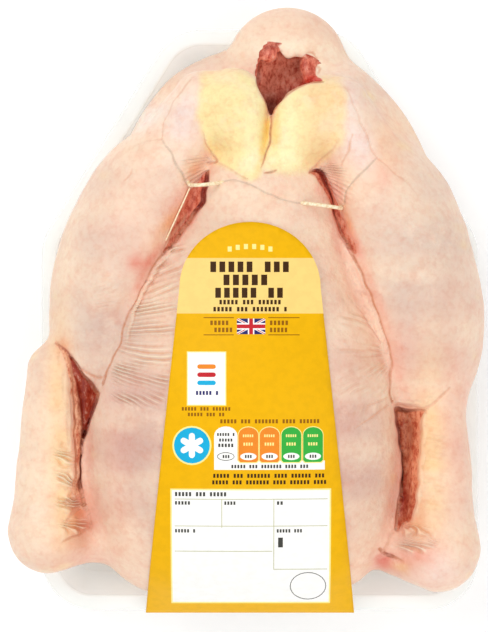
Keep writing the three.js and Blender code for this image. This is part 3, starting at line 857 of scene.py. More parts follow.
def upper_hull(places, heights):
    """The heights of a string pulled tight over a profile."""
    hull = []
    for point in zip(places, heights):
        while len(hull) > 1:
            (x0, y0), (x1, y1) = hull[-2], hull[-1]
            if (y1 - y0) * (point[0] - x1) > (point[1] - y1) * (x1 - x0):
                break
            hull.pop()
        hull.append(point)
    return np.interp(places, *np.array(hull).T)


ELASTIC_LINES = [elastic_places(ELASTIC), elastic_places(ELASTIC_TAIL)]


def label_half_width(y):
    flared = np.interp(y, [LABEL_FRONT, LABEL_ARCH_FOOT], [LABEL_FRONT_HALF_WIDTH, LABEL_ARCH_HALF_WIDTH])
    rise = np.clip((y - LABEL_ARCH_FOOT) / LABEL_ARCH_HEIGHT, 0, 1)
    return flared * np.sqrt(1 - rise * rise)


def under_label(p):
    beside = np.abs(p[:, 0] - LABEL_MIDDLE) - label_half_width(p[:, 1])
    return smoothstep(2, -1, beside) * (p[:, 1] < LABEL_ARCH_FOOT + LABEL_ARCH_HEIGHT)


def blob(p, px, py, wide, long, turn=0.0):
    """A soft round patch about a pixel, with half sizes in millimetres, seen from above."""
    x, y = in_plan(px, py)
    c, s = math.cos(math.radians(turn)), math.sin(math.radians(turn))
    dx, dy = p[:, 0] - x, p[:, 1] - y
    u, v = (c * dx + s * dy) / wide, (c * dy - s * dx) / long
    return np.exp(-(u * u + v * v))


def bird_surface(p):
    rise = smoothstep(TRAY_HEIGHT - 2, TRAY_HEIGHT + 4, p[:, 2])
    inner = np.maximum(cavity(p), p[:, 2] - VENT_FLOOR - 4)
    form = blend(4, carve(3, body(p), inner), hocks(p)) + PRESSED.at(p) * rise
    floor = VENT_FLOOR
    for px, py, wide, long, height in VENT_LOBES:
        floor = floor + height * blob(p, px, py, wide, long)
    form = carve(1.2, form, np.maximum(VENT.at(p), 0.5 * (floor - p[:, 2])))
    return -blend(2.5, -form, -tray_room(p))


def wrinkle_lines(p):
    """The phase of the fine wrinkles in whole waves, how strong they show and how much they stand out."""
    x, y = p[:, 0], p[:, 1]
    drift = lattice_noise(p, 15, 1) + 0.4 * lattice_noise(p, 6, 2)
    uneven = np.clip(0.8 + 0.65 * lattice_noise(p, (9, 4, 9), 3), 0.1, 1.2)

    def fan(px, py, waves, side):
        """Lines that spread from a pixel, to its right where side is 1 and to its left where it is -1."""
        cx, cy = in_plan(px, py)
        return np.arctan2(side * (y - cy), side * (x - cx)) / (2 * math.pi) * waves + 0.8 * drift

    crumpled = (y + 0.4 * x) / 2.4 + 1.2 * lattice_noise(p, (5, 4, 5), 6)
    layers = [
        (fan(20, 336, 180, 1), LEFT_FLANK, 0.8, 3, 0.9),
        (fan(402, 352, 38, -1), RIGHT_FLANK, 0.5, 3, 1),
        (fan(234, 155, 80, -1), LEFT_KNEE, 0.45, 1.2, 0),
        (fan(298, 166, 88, 1), RIGHT_KNEE, 0.45, 1.2, 0),
        ((y + 0.15 * x) / 2.6 + 0.6 * drift, RIGHT_WING_RIDGE, 0.4, 2.5, 1),
        (crumpled, LEFT_WING_FOLDS, 0.9, 3, 1.2),
        ((y - 0.3 * x) / 1.9 + 1.2 * drift, LEFT_THIGH_FOOT, 0.4, 4, 0.6),
        (crumpled, RIGHT_WING_FOLDS, 0.8, 3, 1.2),
    ]
    phase, amount, relief = np.zeros((3, len(p)), np.float32)
    nearest = np.full(len(p), -99, np.float32)
    for turned, outline, strength, edge, height in layers:
        inside = outline_depth(p[:, :2], outline)
        closer = inside > nearest
        phase = np.where(closer, turned, phase)
        amount = np.where(closer, strength * smoothstep(-1, edge, inside), amount)
        relief = np.where(closer, height, relief)
        nearest = np.maximum(nearest, inside)
    return phase, amount * uneven, relief


def wrinkles(p):
    """Height of the skin's wrinkles and swells, in millimetres."""
    phase, amount, relief = wrinkle_lines(p)
    height = 0.14 * relief * amount * np.sin(2 * math.pi * phase)
    folded = sum(blob(p, *place) for place in WING_FOLDS)
    height += 0.5 * folded * lattice_noise(p, (5, 3.2, 5), 5)
    height += 0.6 * lattice_noise(p, 26, 7) + 0.26 * lattice_noise(p, 11, 8) + 0.1 * lattice_noise(p, 4.5, 9)
    return height


def detail_wanted(p):
    """How often the faces at the places are split: twice on lines, once at edges and wrinkles."""
    flat = ragged(p[:, :2])
    wanted = np.where(wrinkle_lines(p)[1] > 0.25, 1, 0)
    for outline, *_ in FLESH_PATCHES.values():
        wanted[np.abs(outline_depth(flat, outline)) < 1] = 1
    for lines, *_ in LINE_KINDS[:-1]:
        for pixels in lines.values():
            away, width = line_distance(flat, pixels)
            wanted[(away - width < 1.3) & (wanted < 1)] = 1
            wanted[away - width < 0.55] = 2
    return wanted * (p[:, 2] > TRAY_HEIGHT) * (under_label(p) < 0.5)


# Tints over the skin: pixel centre, half sizes in millimetres, turn, colour and strength.
TINTS = [
    (290, 28, 22, 10, 0, PEACH, 0.35), (330, 55, 8, 10, 30, PEACH, 0.5), (240, 50, 8, 10, 0, CREAM, 0.5),
    (290, 48, 18, 4, 0, FAT, 0.85), (320, 62, 5, 8, 0, FAT, 0.6), (262, 62, 3, 10, 0, FAT, 0.5),
    (185, 95, 14, 12, 35, PEACH, 0.5), (140, 125, 14, 10, 35, PEACH, 0.55),
    # The pale tint along the left hip's edge is a painted highlight.
    (184, 116, 6, 18, -14, LILAC, 0.9), (148, 118, 5, 10, -52, HIGHLIGHT_SKIN, 0.9),
    (396, 134, 9, 34, -36, PEACH, 1.0), (352, 122, 5, 17, 12, LILAC, 0.95),
    (362, 152, 5, 9, 10, LILAC, 0.7), (120, 185, 18, 14, 40, CREAM, 0.35),
    (115, 225, 20, 20, 20, PINK, 0.14), (90, 260, 16, 30, 0, GREY, 0.4), (100, 330, 16, 18, 0, GREY, 0.75),
    (137, 262, 3.4, 3.6, -30, ROSE, 0.8), (152, 258, 1.6, 7, -38, ROSE, 0.9),
    (139, 284, 1.6, 8, -28, ROSE, 0.6), (172, 220, 2.6, 11, -36, ORANGE_SKIN, 0.9),
    (180, 200, 3, 8, -30, PINK, 0.5), (196, 170, 4.5, 3.5, 30, ORANGE_SKIN, 0.8),
    (335, 186, 2.8, 6, 25, PINK, 0.8), (318, 192, 1.5, 4, 25, PINK, 0.8), (110, 305, 8, 8, 0, MAUVE, 0.6),
    (66, 250, 5, 30, 0, CREAM, 0.4), (420, 250, 20, 26, 0, GREY, 0.65), (425, 330, 16, 24, 0, MAUVE, 0.5),
    (400, 300, 10, 24, 15, GREY, 0.6), (383, 178, 3, 5, 20, PINK, 0.5), (350, 234, 1.8, 8, 24, ROSE, 0.8),
    (362, 262, 1.8, 12, 24, PINK, 0.6), (382, 312, 2, 16, 22, PINK, 0.5), (397, 375, 3, 12, 0, PINK, 0.3),
    (405, 345, 8, 10, 0, PINK, 0.25), (250, 205, 14, 8, 0, CREAM, 0.6), (300, 185, 10, 8, 0, PEACH, 0.35),
    (345, 290, 5, 18, 20, PEACH, 0.5), (368, 350, 8, 26, 8, PEACH, 0.75),
    (165, 330, 12, 26, 0, PEACH, 0.3), (140, 390, 12, 16, 0, PINK, 0.22),
    (140, 440, 15, 30, 0, MAUVE, 0.95), (118, 470, 8, 30, 0, PINK, 0.22),
    (125, 540, 14, 20, 0, PEACH, 0.4), (150, 500, 8, 26, 0, GREY, 0.4), (354, 450, 12, 32, 0, MAUVE, 0.7),
    (372, 500, 8, 26, 0, MAUVE, 0.25), (362, 560, 10, 14, 0, PEACH, 0.5),
    (390, 450, 3, 34, 0, PEACH, 0.45), (340, 400, 6, 20, 0, PINK, 0.2), (58, 420, 5, 44, 0, TAN, 0.85),
    (28, 440, 6, 40, 0, CREAM, 0.3), (40, 500, 10, 30, 0, CREAM, 0.55),
    (64, 350, 3, 6, 0, ORANGE_SKIN, 0.8), (77, 518, 4.5, 11, -10, ORANGE_SKIN, 0.95),
    (85, 530, 4, 7, -15, BROWN_SKIN, 0.9), (75, 562, 12, 5, 0, PINK, 0.35),
    (63, 482, 3.5, 20, 0, TAN, 0.9), (78, 500, 2, 5, -12, BROWN_SKIN, 0.8),
    (348, 222, 1.6, 6, 12, ORANGE_SKIN, 0.8), (431, 455, 7, 36, 0, TAN, 0.95),
    (420, 470, 2.2, 24, 0, ORANGE_SKIN, 0.7), (430, 545, 7, 5, 0, PINK, 0.5),
    (455, 440, 6, 30, 0, PINK, 0.4), (458, 400, 8, 12, 0, PINK, 0.3),
    (410, 530, 6, 6, 20, ORANGE_SKIN, 0.9), (407, 533, 2.4, 3.4, 20, BROWN_SKIN, 0.8),
    (425, 572, 20, 9, 0, PINK, 0.4), (440, 570, 10, 8, 0, LILAC, 0.6), (462, 555, 8, 14, 0, CREAM, 0.3),
    (402, 542, 5, 5, 0, MAUVE, 0.8), (387, 562, 4.5, 3.2, 0, ROSE, 1.0),
    (383, 558, 2.6, 2.8, 20, BRIGHT_RED, 0.65), (402, 566, 4, 2.4, 0, ORANGE_SKIN, 0.8),
    (412, 556, 8, 4, 0, PINK, 0.6),
]


class Paint:
    """A colour for each point, with others laid over it."""

    def __init__(self, p, base):
        self.p = p
        self.colour = np.tile(np.array(base, np.float32), (len(p), 1))

    def lay(self, paint, amount):
        self.colour += (np.array(paint, np.float32) - self.colour) * np.clip(amount, 0, 1)[:, None]

    def lay_blobs(self, paint, mask, *blobs):
        """Each blob is its strength, pixel, half sizes in millimetres and turn."""
        self.lay(paint, mask * sum(strength * blob(self.p, *place) for strength, *place in blobs))


def bird_colour(p, normal):
    """The skin's colour at each point."""
    skin = Paint(p, SKIN)
    flat = p[:, :2]
    mottle = lattice_noise(p, 12, 21)
    fine = lattice_noise(p, 4, 22)
    for px, py, wide, long, turn, paint, strength in TINTS:
        skin.lay(paint, strength * blob(p, px, py, wide, long, turn) * (1 + 0.3 * mottle + 0.2 * fine))
    skin.lay(MAUVE, 0.16 * smoothstep(0.05, 0.7, mottle))
    skin.lay(CREAM, 0.25 * smoothstep(0.0, 0.6, -mottle))
    # Pink laid where the body closes in, in creases and between parts, is painted shade.
    openness = smoothstep(0.1, 0.95, bird_form(p + normal * 7) / 7)
    skin.lay(PINK, 0.4 * (1 - openness) * smoothstep(TRAY_HEIGHT, TRAY_HEIGHT + 8, p[:, 2]))

    top = smoothstep(-0.2, 0.3, normal[:, 2]) * smoothstep(40, 47, p[:, 2])
    steep = 1.8 * smoothstep(0.75, 0.35, normal[:, 2])
    wide = (1.2 + steep) * mottle + (0.8 + steep) * fine - 0.6 * steep
    left = smoothstep(-1.6 - steep, 2.0 + steep, outline_depth(flat, LEFT_YELLOW) + wide) * top
    right = smoothstep(-2.6 - steep, 3.0 + steep, outline_depth(flat, RIGHT_YELLOW) + wide) * top
    yellow = np.maximum(left, right)
    skin.lay(YELLOW_SKIN, 0.95 * yellow)
    skin.lay(TAN, 0.72 * right * smoothstep(*TAN_FROM, flat[:, 0] / PIXEL + PHOTO_ORIGIN[0]))
    ends = {"both": yellow, "left": left, "right": right}
    for paint, end, *blobs in YELLOW_TINTS:
        skin.lay_blobs(paint, ends[end], *blobs)
    return np.clip(skin.colour, 0, 1)


def flesh_colour(p):
    """The colour of bare flesh at each point, and how far inside a patch of it the point lies."""
    flat = ragged(p[:, :2])
    flesh = Paint(p, MIDDLE_FLESH)
    depth = np.full(len(p), -4, np.float32)
    for outline, paint, _ in FLESH_PATCHES.values():
        inside = outline_depth(flat, outline)
        flesh.lay(paint, smoothstep(-1.2, -0.2, inside))
        depth = np.maximum(depth, inside)
    depth -= 5 * smoothstep(TRAY_HEIGHT + 3, TRAY_HEIGHT - 2, p[:, 2])
    hollow = smoothstep(2.2, 1.0, cavity(p)) * smoothstep(VENT_FLOOR + 10, VENT_FLOOR + 6, p[:, 2])
    depth = np.maximum(depth, 6 * hollow - 4)
    for paint, *blobs in FLESH_TINTS:
        flesh.lay_blobs(paint, 1, *blobs)
    return np.clip(flesh.colour, 0, 1), depth


def line_colour(p):
    """How strongly the lines show at each point, and their colour there."""
    flat = ragged(p[:, :2])
    shown = np.zeros(len(p), np.float32)
    colour = np.zeros((len(p), 3), np.float32)
    for lines, _, _, narrow, deep, strength in LINE_KINDS:
        for pixels in lines.values():
            away, width = line_distance(flat, pixels)
            here = strength * smoothstep(width + 0.35, width - 0.2, away) * smoothstep(0.05, 0.3, width)
            tone = smoothstep(0.3, 0.7, width)[:, None]
            paint = np.array(narrow) + (np.array(deep) - np.array(narrow)) * tone
            stronger = here > shown
            colour[stronger] = paint[stronger]
            shown = np.maximum(shown, here)
    return colour, shown


def skin_material():
    look = Look("raw_chicken_skin")
    place = look.place()
    blotches = look.noise(place, 150, 4, 0.6)
    veins = look.noise(place, 70, 6, 0.65)
    crepe = look.noise(place, 420, 5, 0.6)
    pores = look.add("TexVoronoi", "Distance", {"Vector": place, "Scale": 560})

    colour = look.attribute("skin_colour", "Color")
    colour = look.mix(look.ramp(blotches, 0.45, 0.75, 0, 0.24), colour, srgb(240, 176, 158), "MULTIPLY")
    colour = look.mix(look.ramp(veins, 0.52, 0.7, 0, 0.3), colour, srgb(255, 236, 212))
    colour = look.mix(look.ramp(crepe, 0.42, 0.68, 0, 0.2), colour, srgb(236, 190, 168), "MULTIPLY")

    wave = look.math("SINE", look.math("MULTIPLY", look.attribute("wrinkle_phase"), 2 * math.pi))
    wave = look.math("MULTIPLY", wave, look.attribute("wrinkle_amount"))
    # Darker in the wrinkles' troughs and paler on their crests: painted shade and painted highlight.
    colour = look.mix(look.ramp(wave, -0.2, -1.0, 0, 0.55), colour, srgb(236, 186, 146), "MULTIPLY")
    colour = look.mix(look.ramp(wave, 0.3, 1.0, 0, 0.55), colour, srgb(255, 236, 206))

    depth = look.math("ADD", look.attribute("flesh_depth"), look.math("MULTIPLY_ADD", blotches, 1.2, -0.6))
    streaks = look.add("Mapping", "Vector", {"Vector": place, "Scale": (1.8, 1, 1)})
    fibre = look.noise(streaks, 300, 6, 0.7)
    meat = look.attribute("flesh_colour", "Color")
    meat = look.mix(look.ramp(fibre, 0.44, 0.64, 0, 0.9), meat, srgb(204, 128, 110), "MULTIPLY")
    meat = look.mix(look.ramp(fibre, 0.46, 0.34, 0, 0.35), meat, srgb(250, 200, 176))
    bare = look.ramp(depth, -0.25, 0.35)
    colour = look.mix(bare, colour, meat)
    shown = look.math("MULTIPLY", look.attribute("line_shown"), look.ramp(crepe, 0.3, 0.6, 0.6, 1.0))
    # Lays on the lines' colours, with their painted shade and painted highlight.
    colour = look.mix(shown, colour, look.attribute("line_colour", "Color"))
    look.set("Base Color", colour)
    # The vent's flesh glows faintly: painted light in its hollow.
    look.set("Emission Color", meat)
    look.set("Emission Strength", look.math("MULTIPLY", look.attribute("vent_light"), 0.14))

    look.set("Subsurface Weight", 0.18)
    look.set("Subsurface Radius", (1.0, 0.45, 0.3))
    look.set("Subsurface Scale", 0.0016)
    look.set("Specular IOR Level", 0.28)
    look.set("Roughness", look.mix_numbers(bare, look.ramp(veins, 0.3, 0.7, 0.36, 0.55), 0.3))
    normal = look.bump(pores, 0.00014, 0.6)
    normal = look.bump(crepe, 0.00035, 0.8, normal)
    normal = look.bump(blotches, 0.0008, 0.6, normal)
    look.set("Normal", look.bump(wave, 0.0003, 1.0, normal))
    return look.material


def make_bird():
    vertices, faces = surface_net(bird_surface, BIRD_LOW, BIRD_HIGH, CELL)
    vertices, _ = settle(bird_surface, vertices)
    vertices, faces = refined(vertices, faces, detail_wanted)
    vertices, normal = settle(bird_surface, vertices, passes=2)
    upper = smoothstep(TRAY_HEIGHT + 1, TRAY_HEIGHT + 9, vertices[:, 2])
    keep = upper * (1 - under_label(vertices)) * smoothstep(0.5, 2.5, cavity(vertices))
    shifted = vertices + normal * (keep * wrinkles(vertices))[:, None]
    bird = mesh_object("chicken_skin_and_flesh", shifted, faces)
    shown = smoothstep(TRAY_HEIGHT - 2, TRAY_HEIGHT + 3, vertices[:, 2])
    flesh, depth = flesh_colour(vertices)
    lines, strength = line_colour(vertices)
    phase, amount, _ = wrinkle_lines(vertices)
    attributes = {
        "skin_colour": bird_colour(vertices, normal), "flesh_colour": flesh, "flesh_depth": depth,
        "line_colour": lines, "line_shown": strength * shown,
        "wrinkle_phase": phase, "wrinkle_amount": amount * shown,
        "vent_light": smoothstep(0, -1, VENT.at(vertices)),
    }
    for name, values in attributes.items():
        give_attribute(bird, name, values)
    bird.data.materials.append(skin_material())
    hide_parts("chicken")
    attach(bird, "root")


# The tray.
def tray_outline(inset, steps=10):
    """The tray's outline in plan, anticlockwise, moved inwards."""
    corners = [Vector(corner) for corner in reversed(TRAY_CORNERS)]
    points = []
    for n, corner in enumerate(corners):
        before = (corner - corners[n - 1]).normalized()
        after = (corners[(n + 1) % len(corners)] - corner).normalized()
        first, second = Vector((before.y, -before.x)), Vector((after.y, -after.x))
        centre = corner - (first + second) * (TRAY_CORNER_RADIUS / (1 + first @ second))
        start = math.atan2(first.y, first.x)
        turn = math.acos(max(-1, min(1, first @ second)))
        for step in range(steps + 1):
            angle = start + turn * step / steps
            radius = TRAY_CORNER_RADIUS - inset
            points.append((centre.x + radius * math.cos(angle), centre.y + radius * math.sin(angle)))
    return points


def arc(inset, z, radius, start, end, steps=4):
    """Points of a rounded edge in the wall's section, with angles in degrees."""
    angles = [math.radians(start + (end - start) * step / steps) for step in range(steps + 1)]
    return [(inset + radius * math.cos(a), z + radius * math.sin(a)) for a in angles]


def tray_section():
    """The wall's section as (inset, height) points from the underside to the floor inside."""
    foot = TRAY_RIM + TRAY_LEAN
    top = TRAY_HEIGHT
    outside = [(foot + 2.5, 0)]
    outside += arc(foot + 1.5, 2.2, 2.2, 270, 195)
    outside += [(TRAY_RIM + 1.9, top - 7), (TRAY_RIM + 0.6, top - 6), (TRAY_RIM, top - 1.6)]
    rim = [(TRAY_RIM - 0.8, top - 0.8), (1.2, top - 0.8), (0.8, top - 1.2), (0.7, top - 3)]
    rim += [(0, top - 3)]
    rim += arc(0.9, top - 0.9, 0.9, 180, 90)
    inside = arc(TRAY_RIM - 0.3, top - 1, 1, 90, 10)
    inside += [(TRAY_RIM + 1.4, top - 5.4), (TRAY_RIM + 2.9, top - 6.4)]
    inside += arc(foot + 2.6, TRAY_WALL + 1.7, 1.7, 195, 270)
    return outside + rim + inside


def plastic_material():
    look = Look("clear_tray_plastic")
    place = look.place()
    haze = look.ramp(look.noise(place, 30, 3, 0.5), 0.3, 0.7)
    look.set("Base Color", look.mix(haze, srgb(252, 254, 250), srgb(242, 246, 242)))
    look.set("Alpha", 0.36)
    # A faint white glow: painted light that lifts the shade inside the tray.
    look.set("Emission Color", (1, 1, 1))
    look.set("Emission Strength", 0.07)
    look.set("Roughness", 0.16)
    look.set("Normal", look.bump(look.noise(place, 55, 2, 0.5), 0.0006, 0.4))
    return look.material


def make_tray():
    rings = [[(x, y, z) for x, y in tray_outline(inset)] for inset, z in tray_section()]
    vertices = [point for ring in rings for point in ring]
    tray = mesh_object("clear_tray_shell", vertices, shell_faces(len(rings), len(rings[0])))
    tray.data.materials.append(plastic_material())
    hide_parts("tray")
    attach(tray, "root")


# The elastic.
def elastic_material():
    look = Look("cream_elastic")
    fibre = look.noise(look.place(), 900, 3, 0.6)
    look.set("Base Color", look.mix(look.ramp(fibre, 0.35, 0.65), srgb(255, 244, 214), srgb(240, 214, 168)))
    look.set("Roughness", 0.6)
    look.set("Normal", look.bump(fibre, 0.0002, 0.6))
    return look.material


def strand(line, radius, sides=10):
    """A closed tube along the line, with rounded ends."""
    line = np.asarray(line, float)
    ahead = np.gradient(line, axis=0)
    ahead /= np.linalg.norm(ahead, axis=1)[:, None]
    across = np.cross(ahead, (0, 0, 1))
    across /= np.linalg.norm(across, axis=1)[:, None]
    over = np.cross(across, ahead)
    angles = np.linspace(0, 2 * math.pi, sides, endpoint=False)
    taper = np.full(len(line), float(radius))
    taper[[0, -1]] = radius * 0.5
    rings = line[:, None] + taper[:, None, None] * (
        np.cos(angles)[None, :, None] * across[:, None] + np.sin(angles)[None, :, None] * over[:, None])
    return rings.reshape(-1, 3), [(face[0], *face[:0:-1]) for face in shell_faces(len(line), sides)]


def make_elastic():
    vertices, faces = [], []
    for line, radius in zip(ELASTIC_LINES, (ELASTIC_RADIUS, ELASTIC_RADIUS * 0.4)):
        points, rings = strand(line, radius)
        faces += [tuple(n + len(vertices) for n in face) for face in rings]
        vertices += points.tolist()
    elastic = mesh_object("trussing_elastic", vertices, faces)
    elastic.data.materials.append(elastic_material())
    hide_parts("elastic")
    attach(elastic, "root")


# The label's print: plain fields, bars and blocks in pixel coordinates.
INKS = {
    "gold": srgb(240, 181, 0), "band": srgb(252, 216, 128), "brown": srgb(66, 40, 14),
    "ochre": srgb(150, 96, 8), "white": srgb(255, 254, 250), "edge": srgb(255, 240, 150),
    "blue": srgb(28, 176, 222), "orange": srgb(240, 140, 44), "green": srgb(56, 176, 66),
    "rule": srgb(196, 196, 160), "grey": srgb(70, 70, 66), "navy": srgb(44, 44, 110),
    "red": srgb(200, 40, 50),
}

# How many blocks stand together in a row of print, over and over.
GROUPS = (5, 3, 7, 4, 6)


def box(left, right, top, bottom):
    return [(left, top), (right, top), (right, bottom), (left, bottom)]


def oval(px, py, wide, high, steps=28):
    angles = [2 * math.pi * n / steps for n in range(steps)]
    return [(px + wide * math.cos(a), py + high * math.sin(a)) for a in angles]


def pill(left, right, top, bottom, steps=10):
    """A box with a round top and small round lower corners."""
    half, middle = (right - left) / 2, (left + right) / 2
    angles = [math.pi * n / steps for n in range(steps + 1)]
    points = [(middle - half * math.cos(a), top + half * 0.8 * (1 - math.sin(a))) for a in angles]
    return points + [(right, bottom - 2), (right - 2, bottom), (left + 2, bottom), (left, bottom - 2)]


def bar(start, end, width):
    """A straight bar with round ends."""
    (x0, y0), (x1, y1) = start, end
    angle = math.atan2(y1 - y0, x1 - x0)
    half = width / 2
    points = []
    for (x, y), offset in ((start, math.pi / 2), (end, -math.pi / 2)):
        for step in range(6):
            turn = angle + offset + math.pi * step / 5
            points.append((x + half * math.cos(turn), y + half * math.sin(turn)))
    return points


def block_row(left, right, top, bottom):
    """Plain blocks in groups of uneven length, as a line of print."""
    slots = max(1, round((right - left) / (0.85 * (bottom - top))))
    pitch = (right - left) / slots
    blocks, n = [], 0
    for length in islice(cycle(GROUPS), slots):
        for slot in range(n, min(n + length, slots)):
            x = left + (slot + 0.18) * pitch
            blocks.append(box(x, x + 0.64 * pitch, top, bottom))
        n += length + 1
    return blocks


def print_rows(ink, *rows):
    return [(ink, block) for row in rows for block in block_row(*row)]


def stripe(start, end, width):
    """A straight stripe from corner to corner, cut off square to the box's sides."""
    (x0, y0), (x1, y1) = start, end
    half = width / 2
    lean = half if y1 > y0 else -half
    return [(x0, y0), (x0 + half, y0), (x1, y1 - lean), (x1, y1), (x1 - half, y1), (x0, y0 + lean)]


def heading():
    marks = [("band", box(120, 380, 258.5, 313.5))]
    marks += print_rows(
        "brown", (209, 290, 262, 272.5), (222, 278, 275, 285.5), (214, 284, 288, 298),
        (219, 281, 300, 304.5), (213, 287, 307, 311.5))
    for n in range(6):
        angle = math.radians(-15 + 6 * n)
        px, py = 250 + 78 * math.sin(angle), 322 - 75 * math.cos(angle)
        marks.append(("edge", box(px - 2, px + 2, py - 2.5, py + 2.5)))
    return marks


def middle_band():
    marks = [("ochre", box(*span, y, y + 0.9)) for y in (317.2, 334.2) for span in ((204, 234), (268, 299))]
    marks += print_rows("ochre", (210, 233, 320.5, 325), (214, 233, 327.5, 332))
    marks += print_rows("ochre", (269, 292, 320.5, 325), (269, 291, 327.5, 332))
    left, right, top, bottom = 237, 265, 318.5, 334
    marks.append(("navy", box(left, right, top, bottom)))
    for wide, ink in ((3.4, "white"), (1.2, "red")):
        marks.append((ink, stripe((left, top), (right, bottom), wide)))
        marks.append((ink, stripe((left, bottom), (right, top), wide)))
    px, py = (left + right) / 2, (top + bottom) / 2
    for half, ink in ((3.2, "white"), (1.9, "red")):
        marks.append((ink, box(px - half, px + half, top, bottom)))
        marks.append((ink, box(left, right, py - half, py + half)))
    return marks


def round_badge():
    px, py = 192.5, 444
    marks = [("edge", oval(px, py, 19.4, 19.4)), ("blue", oval(px, py, 17.8, 17.8))]
    for n in range(3):
        angle = math.radians(90 + 60 * n)
        reach = (9.5 * math.cos(angle), 9.5 * math.sin(angle))
        marks.append(("white", bar((px - reach[0], py - reach[1]), (px + reach[0], py + reach[1]), 6)))
    return marks


def nutrition_panel():
    marks = print_rows("ochre", (220, 319, 418, 422))
    marks += [("white", box(214.5, 324, 459, 468)), ("white", pill(214.5, 237.5, 425, 468))]
    marks += print_rows("grey", (217, 235, 431.5, 434.5), (219, 233, 437, 440), (218, 234, 442, 445.5))
    marks += [("grey", oval(226, 454.8, 8.6, 4.2)), ("white", oval(226, 454.8, 7.9, 3.5))]
    marks += print_rows("grey", (222.5, 230, 453.2, 456.4))
    for left, ink in ((238.5, "orange"), (259.5, "orange"), (281, "green"), (302.5, "green")):
        marks.append(("edge", pill(left - 0.6, left + 20.2, 425, 461.5)))
        marks.append((ink, pill(left, left + 19.6, 425.8, 460.5)))
        marks.append(("white", oval(left + 9.8, 454.8, 8, 3.6)))
        marks += print_rows("edge", (left + 4, left + 15, 433, 435.6), (left + 4.5, left + 14.5, 441, 444))
        marks += print_rows("grey", (left + 6, left + 13.5, 453.2, 456.4))
    marks += print_rows("grey", (231, 308, 463, 466.5))
    return marks + print_rows("brown", (213, 324, 472, 476), (212, 326, 478.5, 482.5))


def price_box():
    marks = [("edge", box(171, 330.5, 487, 604.5)), ("white", box(172.5, 329, 488.5, 603))]
    rules = [
        (175, 327, 497, 497.8), (175, 327, 524, 524.8), (175, 272, 549.5, 550.3), (273.5, 327, 568, 568.8),
        (221.6, 222.4, 497, 526), (273.2, 274, 497, 568.8),
    ]
    marks += [("rule", box(*edges)) for edges in rules]
    marks += print_rows(
        "grey", (175, 227, 490.3, 494.5), (175, 191, 499.5, 503), (224, 236, 499.5, 503),
        (276, 283, 499.5, 503), (175, 196, 527.5, 531), (276, 302, 527.5, 531), (276.5, 284, 536, 546))
    return marks + [("grey", oval(308, 586, 18.2, 14.5)), ("white", oval(308, 586, 17.4, 13.7))]


def print_marks():
    """Every field of the print, in the order that it is laid down."""
    marks = heading() + middle_band()
    marks += [("edge", box(187.5, 226.5, 351, 404.5)), ("white", box(188.5, 225.5, 352, 403.5))]
    for y, ink in ((366, "orange"), (374, "red"), (382, "blue")):
        marks.append((ink, bar((200, y), (214, y), 4.5)))
    marks += print_rows("navy", (196, 219, 390, 394))
    marks += print_rows("ochre", (182, 231, 406, 409.5), (188, 225, 411.5, 415))
    return marks + round_badge() + nutrition_panel() + price_box()


def ink_material(name, colour):
    look = Look("label_" + name)
    place = look.place()
    deeper = tuple(value * 0.95 for value in colour)
    look.set("Base Color", look.mix(look.ramp(look.noise(place, 260, 4, 0.6), 0.4, 0.65), colour, deeper))
    look.set("Roughness", 0.5)
    look.set("Specular IOR Level", 0.12)
    look.set("Normal", look.bump(look.noise(place, 1400, 2, 0.5), 0.00005, 0.4))
    return look.material


def label_outline():
    """The label's edge in plan, anticlockwise from the front left corner."""
    right = LABEL_MIDDLE + LABEL_FRONT_HALF_WIDTH
    left = LABEL_MIDDLE - LABEL_FRONT_HALF_WIDTH
    points = [(x, LABEL_FRONT) for x in np.linspace(left, right, 30)]
    rising = np.linspace(LABEL_FRONT, LABEL_ARCH_FOOT, 50)[1:-1]
    points += [(LABEL_MIDDLE + label_half_width(y), y) for y in rising]
    for angle in np.linspace(0, math.pi, 48):
        points.append((LABEL_MIDDLE + LABEL_ARCH_HALF_WIDTH * math.cos(angle),
                       LABEL_ARCH_FOOT + LABEL_ARCH_HEIGHT * math.sin(angle)))
    points += [(LABEL_MIDDLE - label_half_width(y), y) for y in rising[::-1]]
    return points


def label_heights():
    """A function that gives the label's height at places in plan: pulled tight over the breast."""
    bend = -100
    rise = LABEL_ARCH_HEIGHT - 0.1
    front, back = np.linspace(LABEL_FRONT, bend, 14), np.linspace(bend, LABEL_ARCH_FOOT + rise, 60)
    rows = np.concatenate([front[:-1], back])
    columns = np.linspace(-1, 1, 41)
    half = label_half_width(rows)
    x = LABEL_MIDDLE + half[:, None] * columns
    y = np.repeat(rows[:, None], len(columns), 1)
    z = heights_over(bird_form, x.ravel(), y.ravel(), LABEL_GAP).reshape(x.shape)
    z[0] = TRAY_HEIGHT + LABEL_GAP
    z = np.stack([upper_hull(rows, z[:, n]) for n in range(len(columns))], 1)

    def at(px, py):
        row = np.interp(py, rows, np.arange(len(rows)))
        share = (px - LABEL_MIDDLE) / np.maximum(label_half_width(py), 0.5)
        column = np.clip((share + 1) / 2 * (len(columns) - 1), 0, len(columns) - 1.001)
        r, c = np.minimum(row.astype(int), len(rows) - 2), column.astype(int)
        fr, fc = row - r, column - c
        front = z[r, c] * (1 - fc) + z[r, c + 1] * fc
        back = z[r + 1, c] * (1 - fc) + z[r + 1, c + 1] * fc
        return front * (1 - fr) + back * fr

    return at


def clip_to_label(points):
    """Moves a field's points in to the label's edge."""
    clipped = []
    for x, y in points:
        y = min(max(y, LABEL_FRONT + 0.3), LABEL_ARCH_FOOT + LABEL_ARCH_HEIGHT - 0.5)
        half = float(label_half_width(y)) - 0.02
        clipped.append((min(max(x, LABEL_MIDDLE - half), LABEL_MIDDLE + half), y))
    return clipped


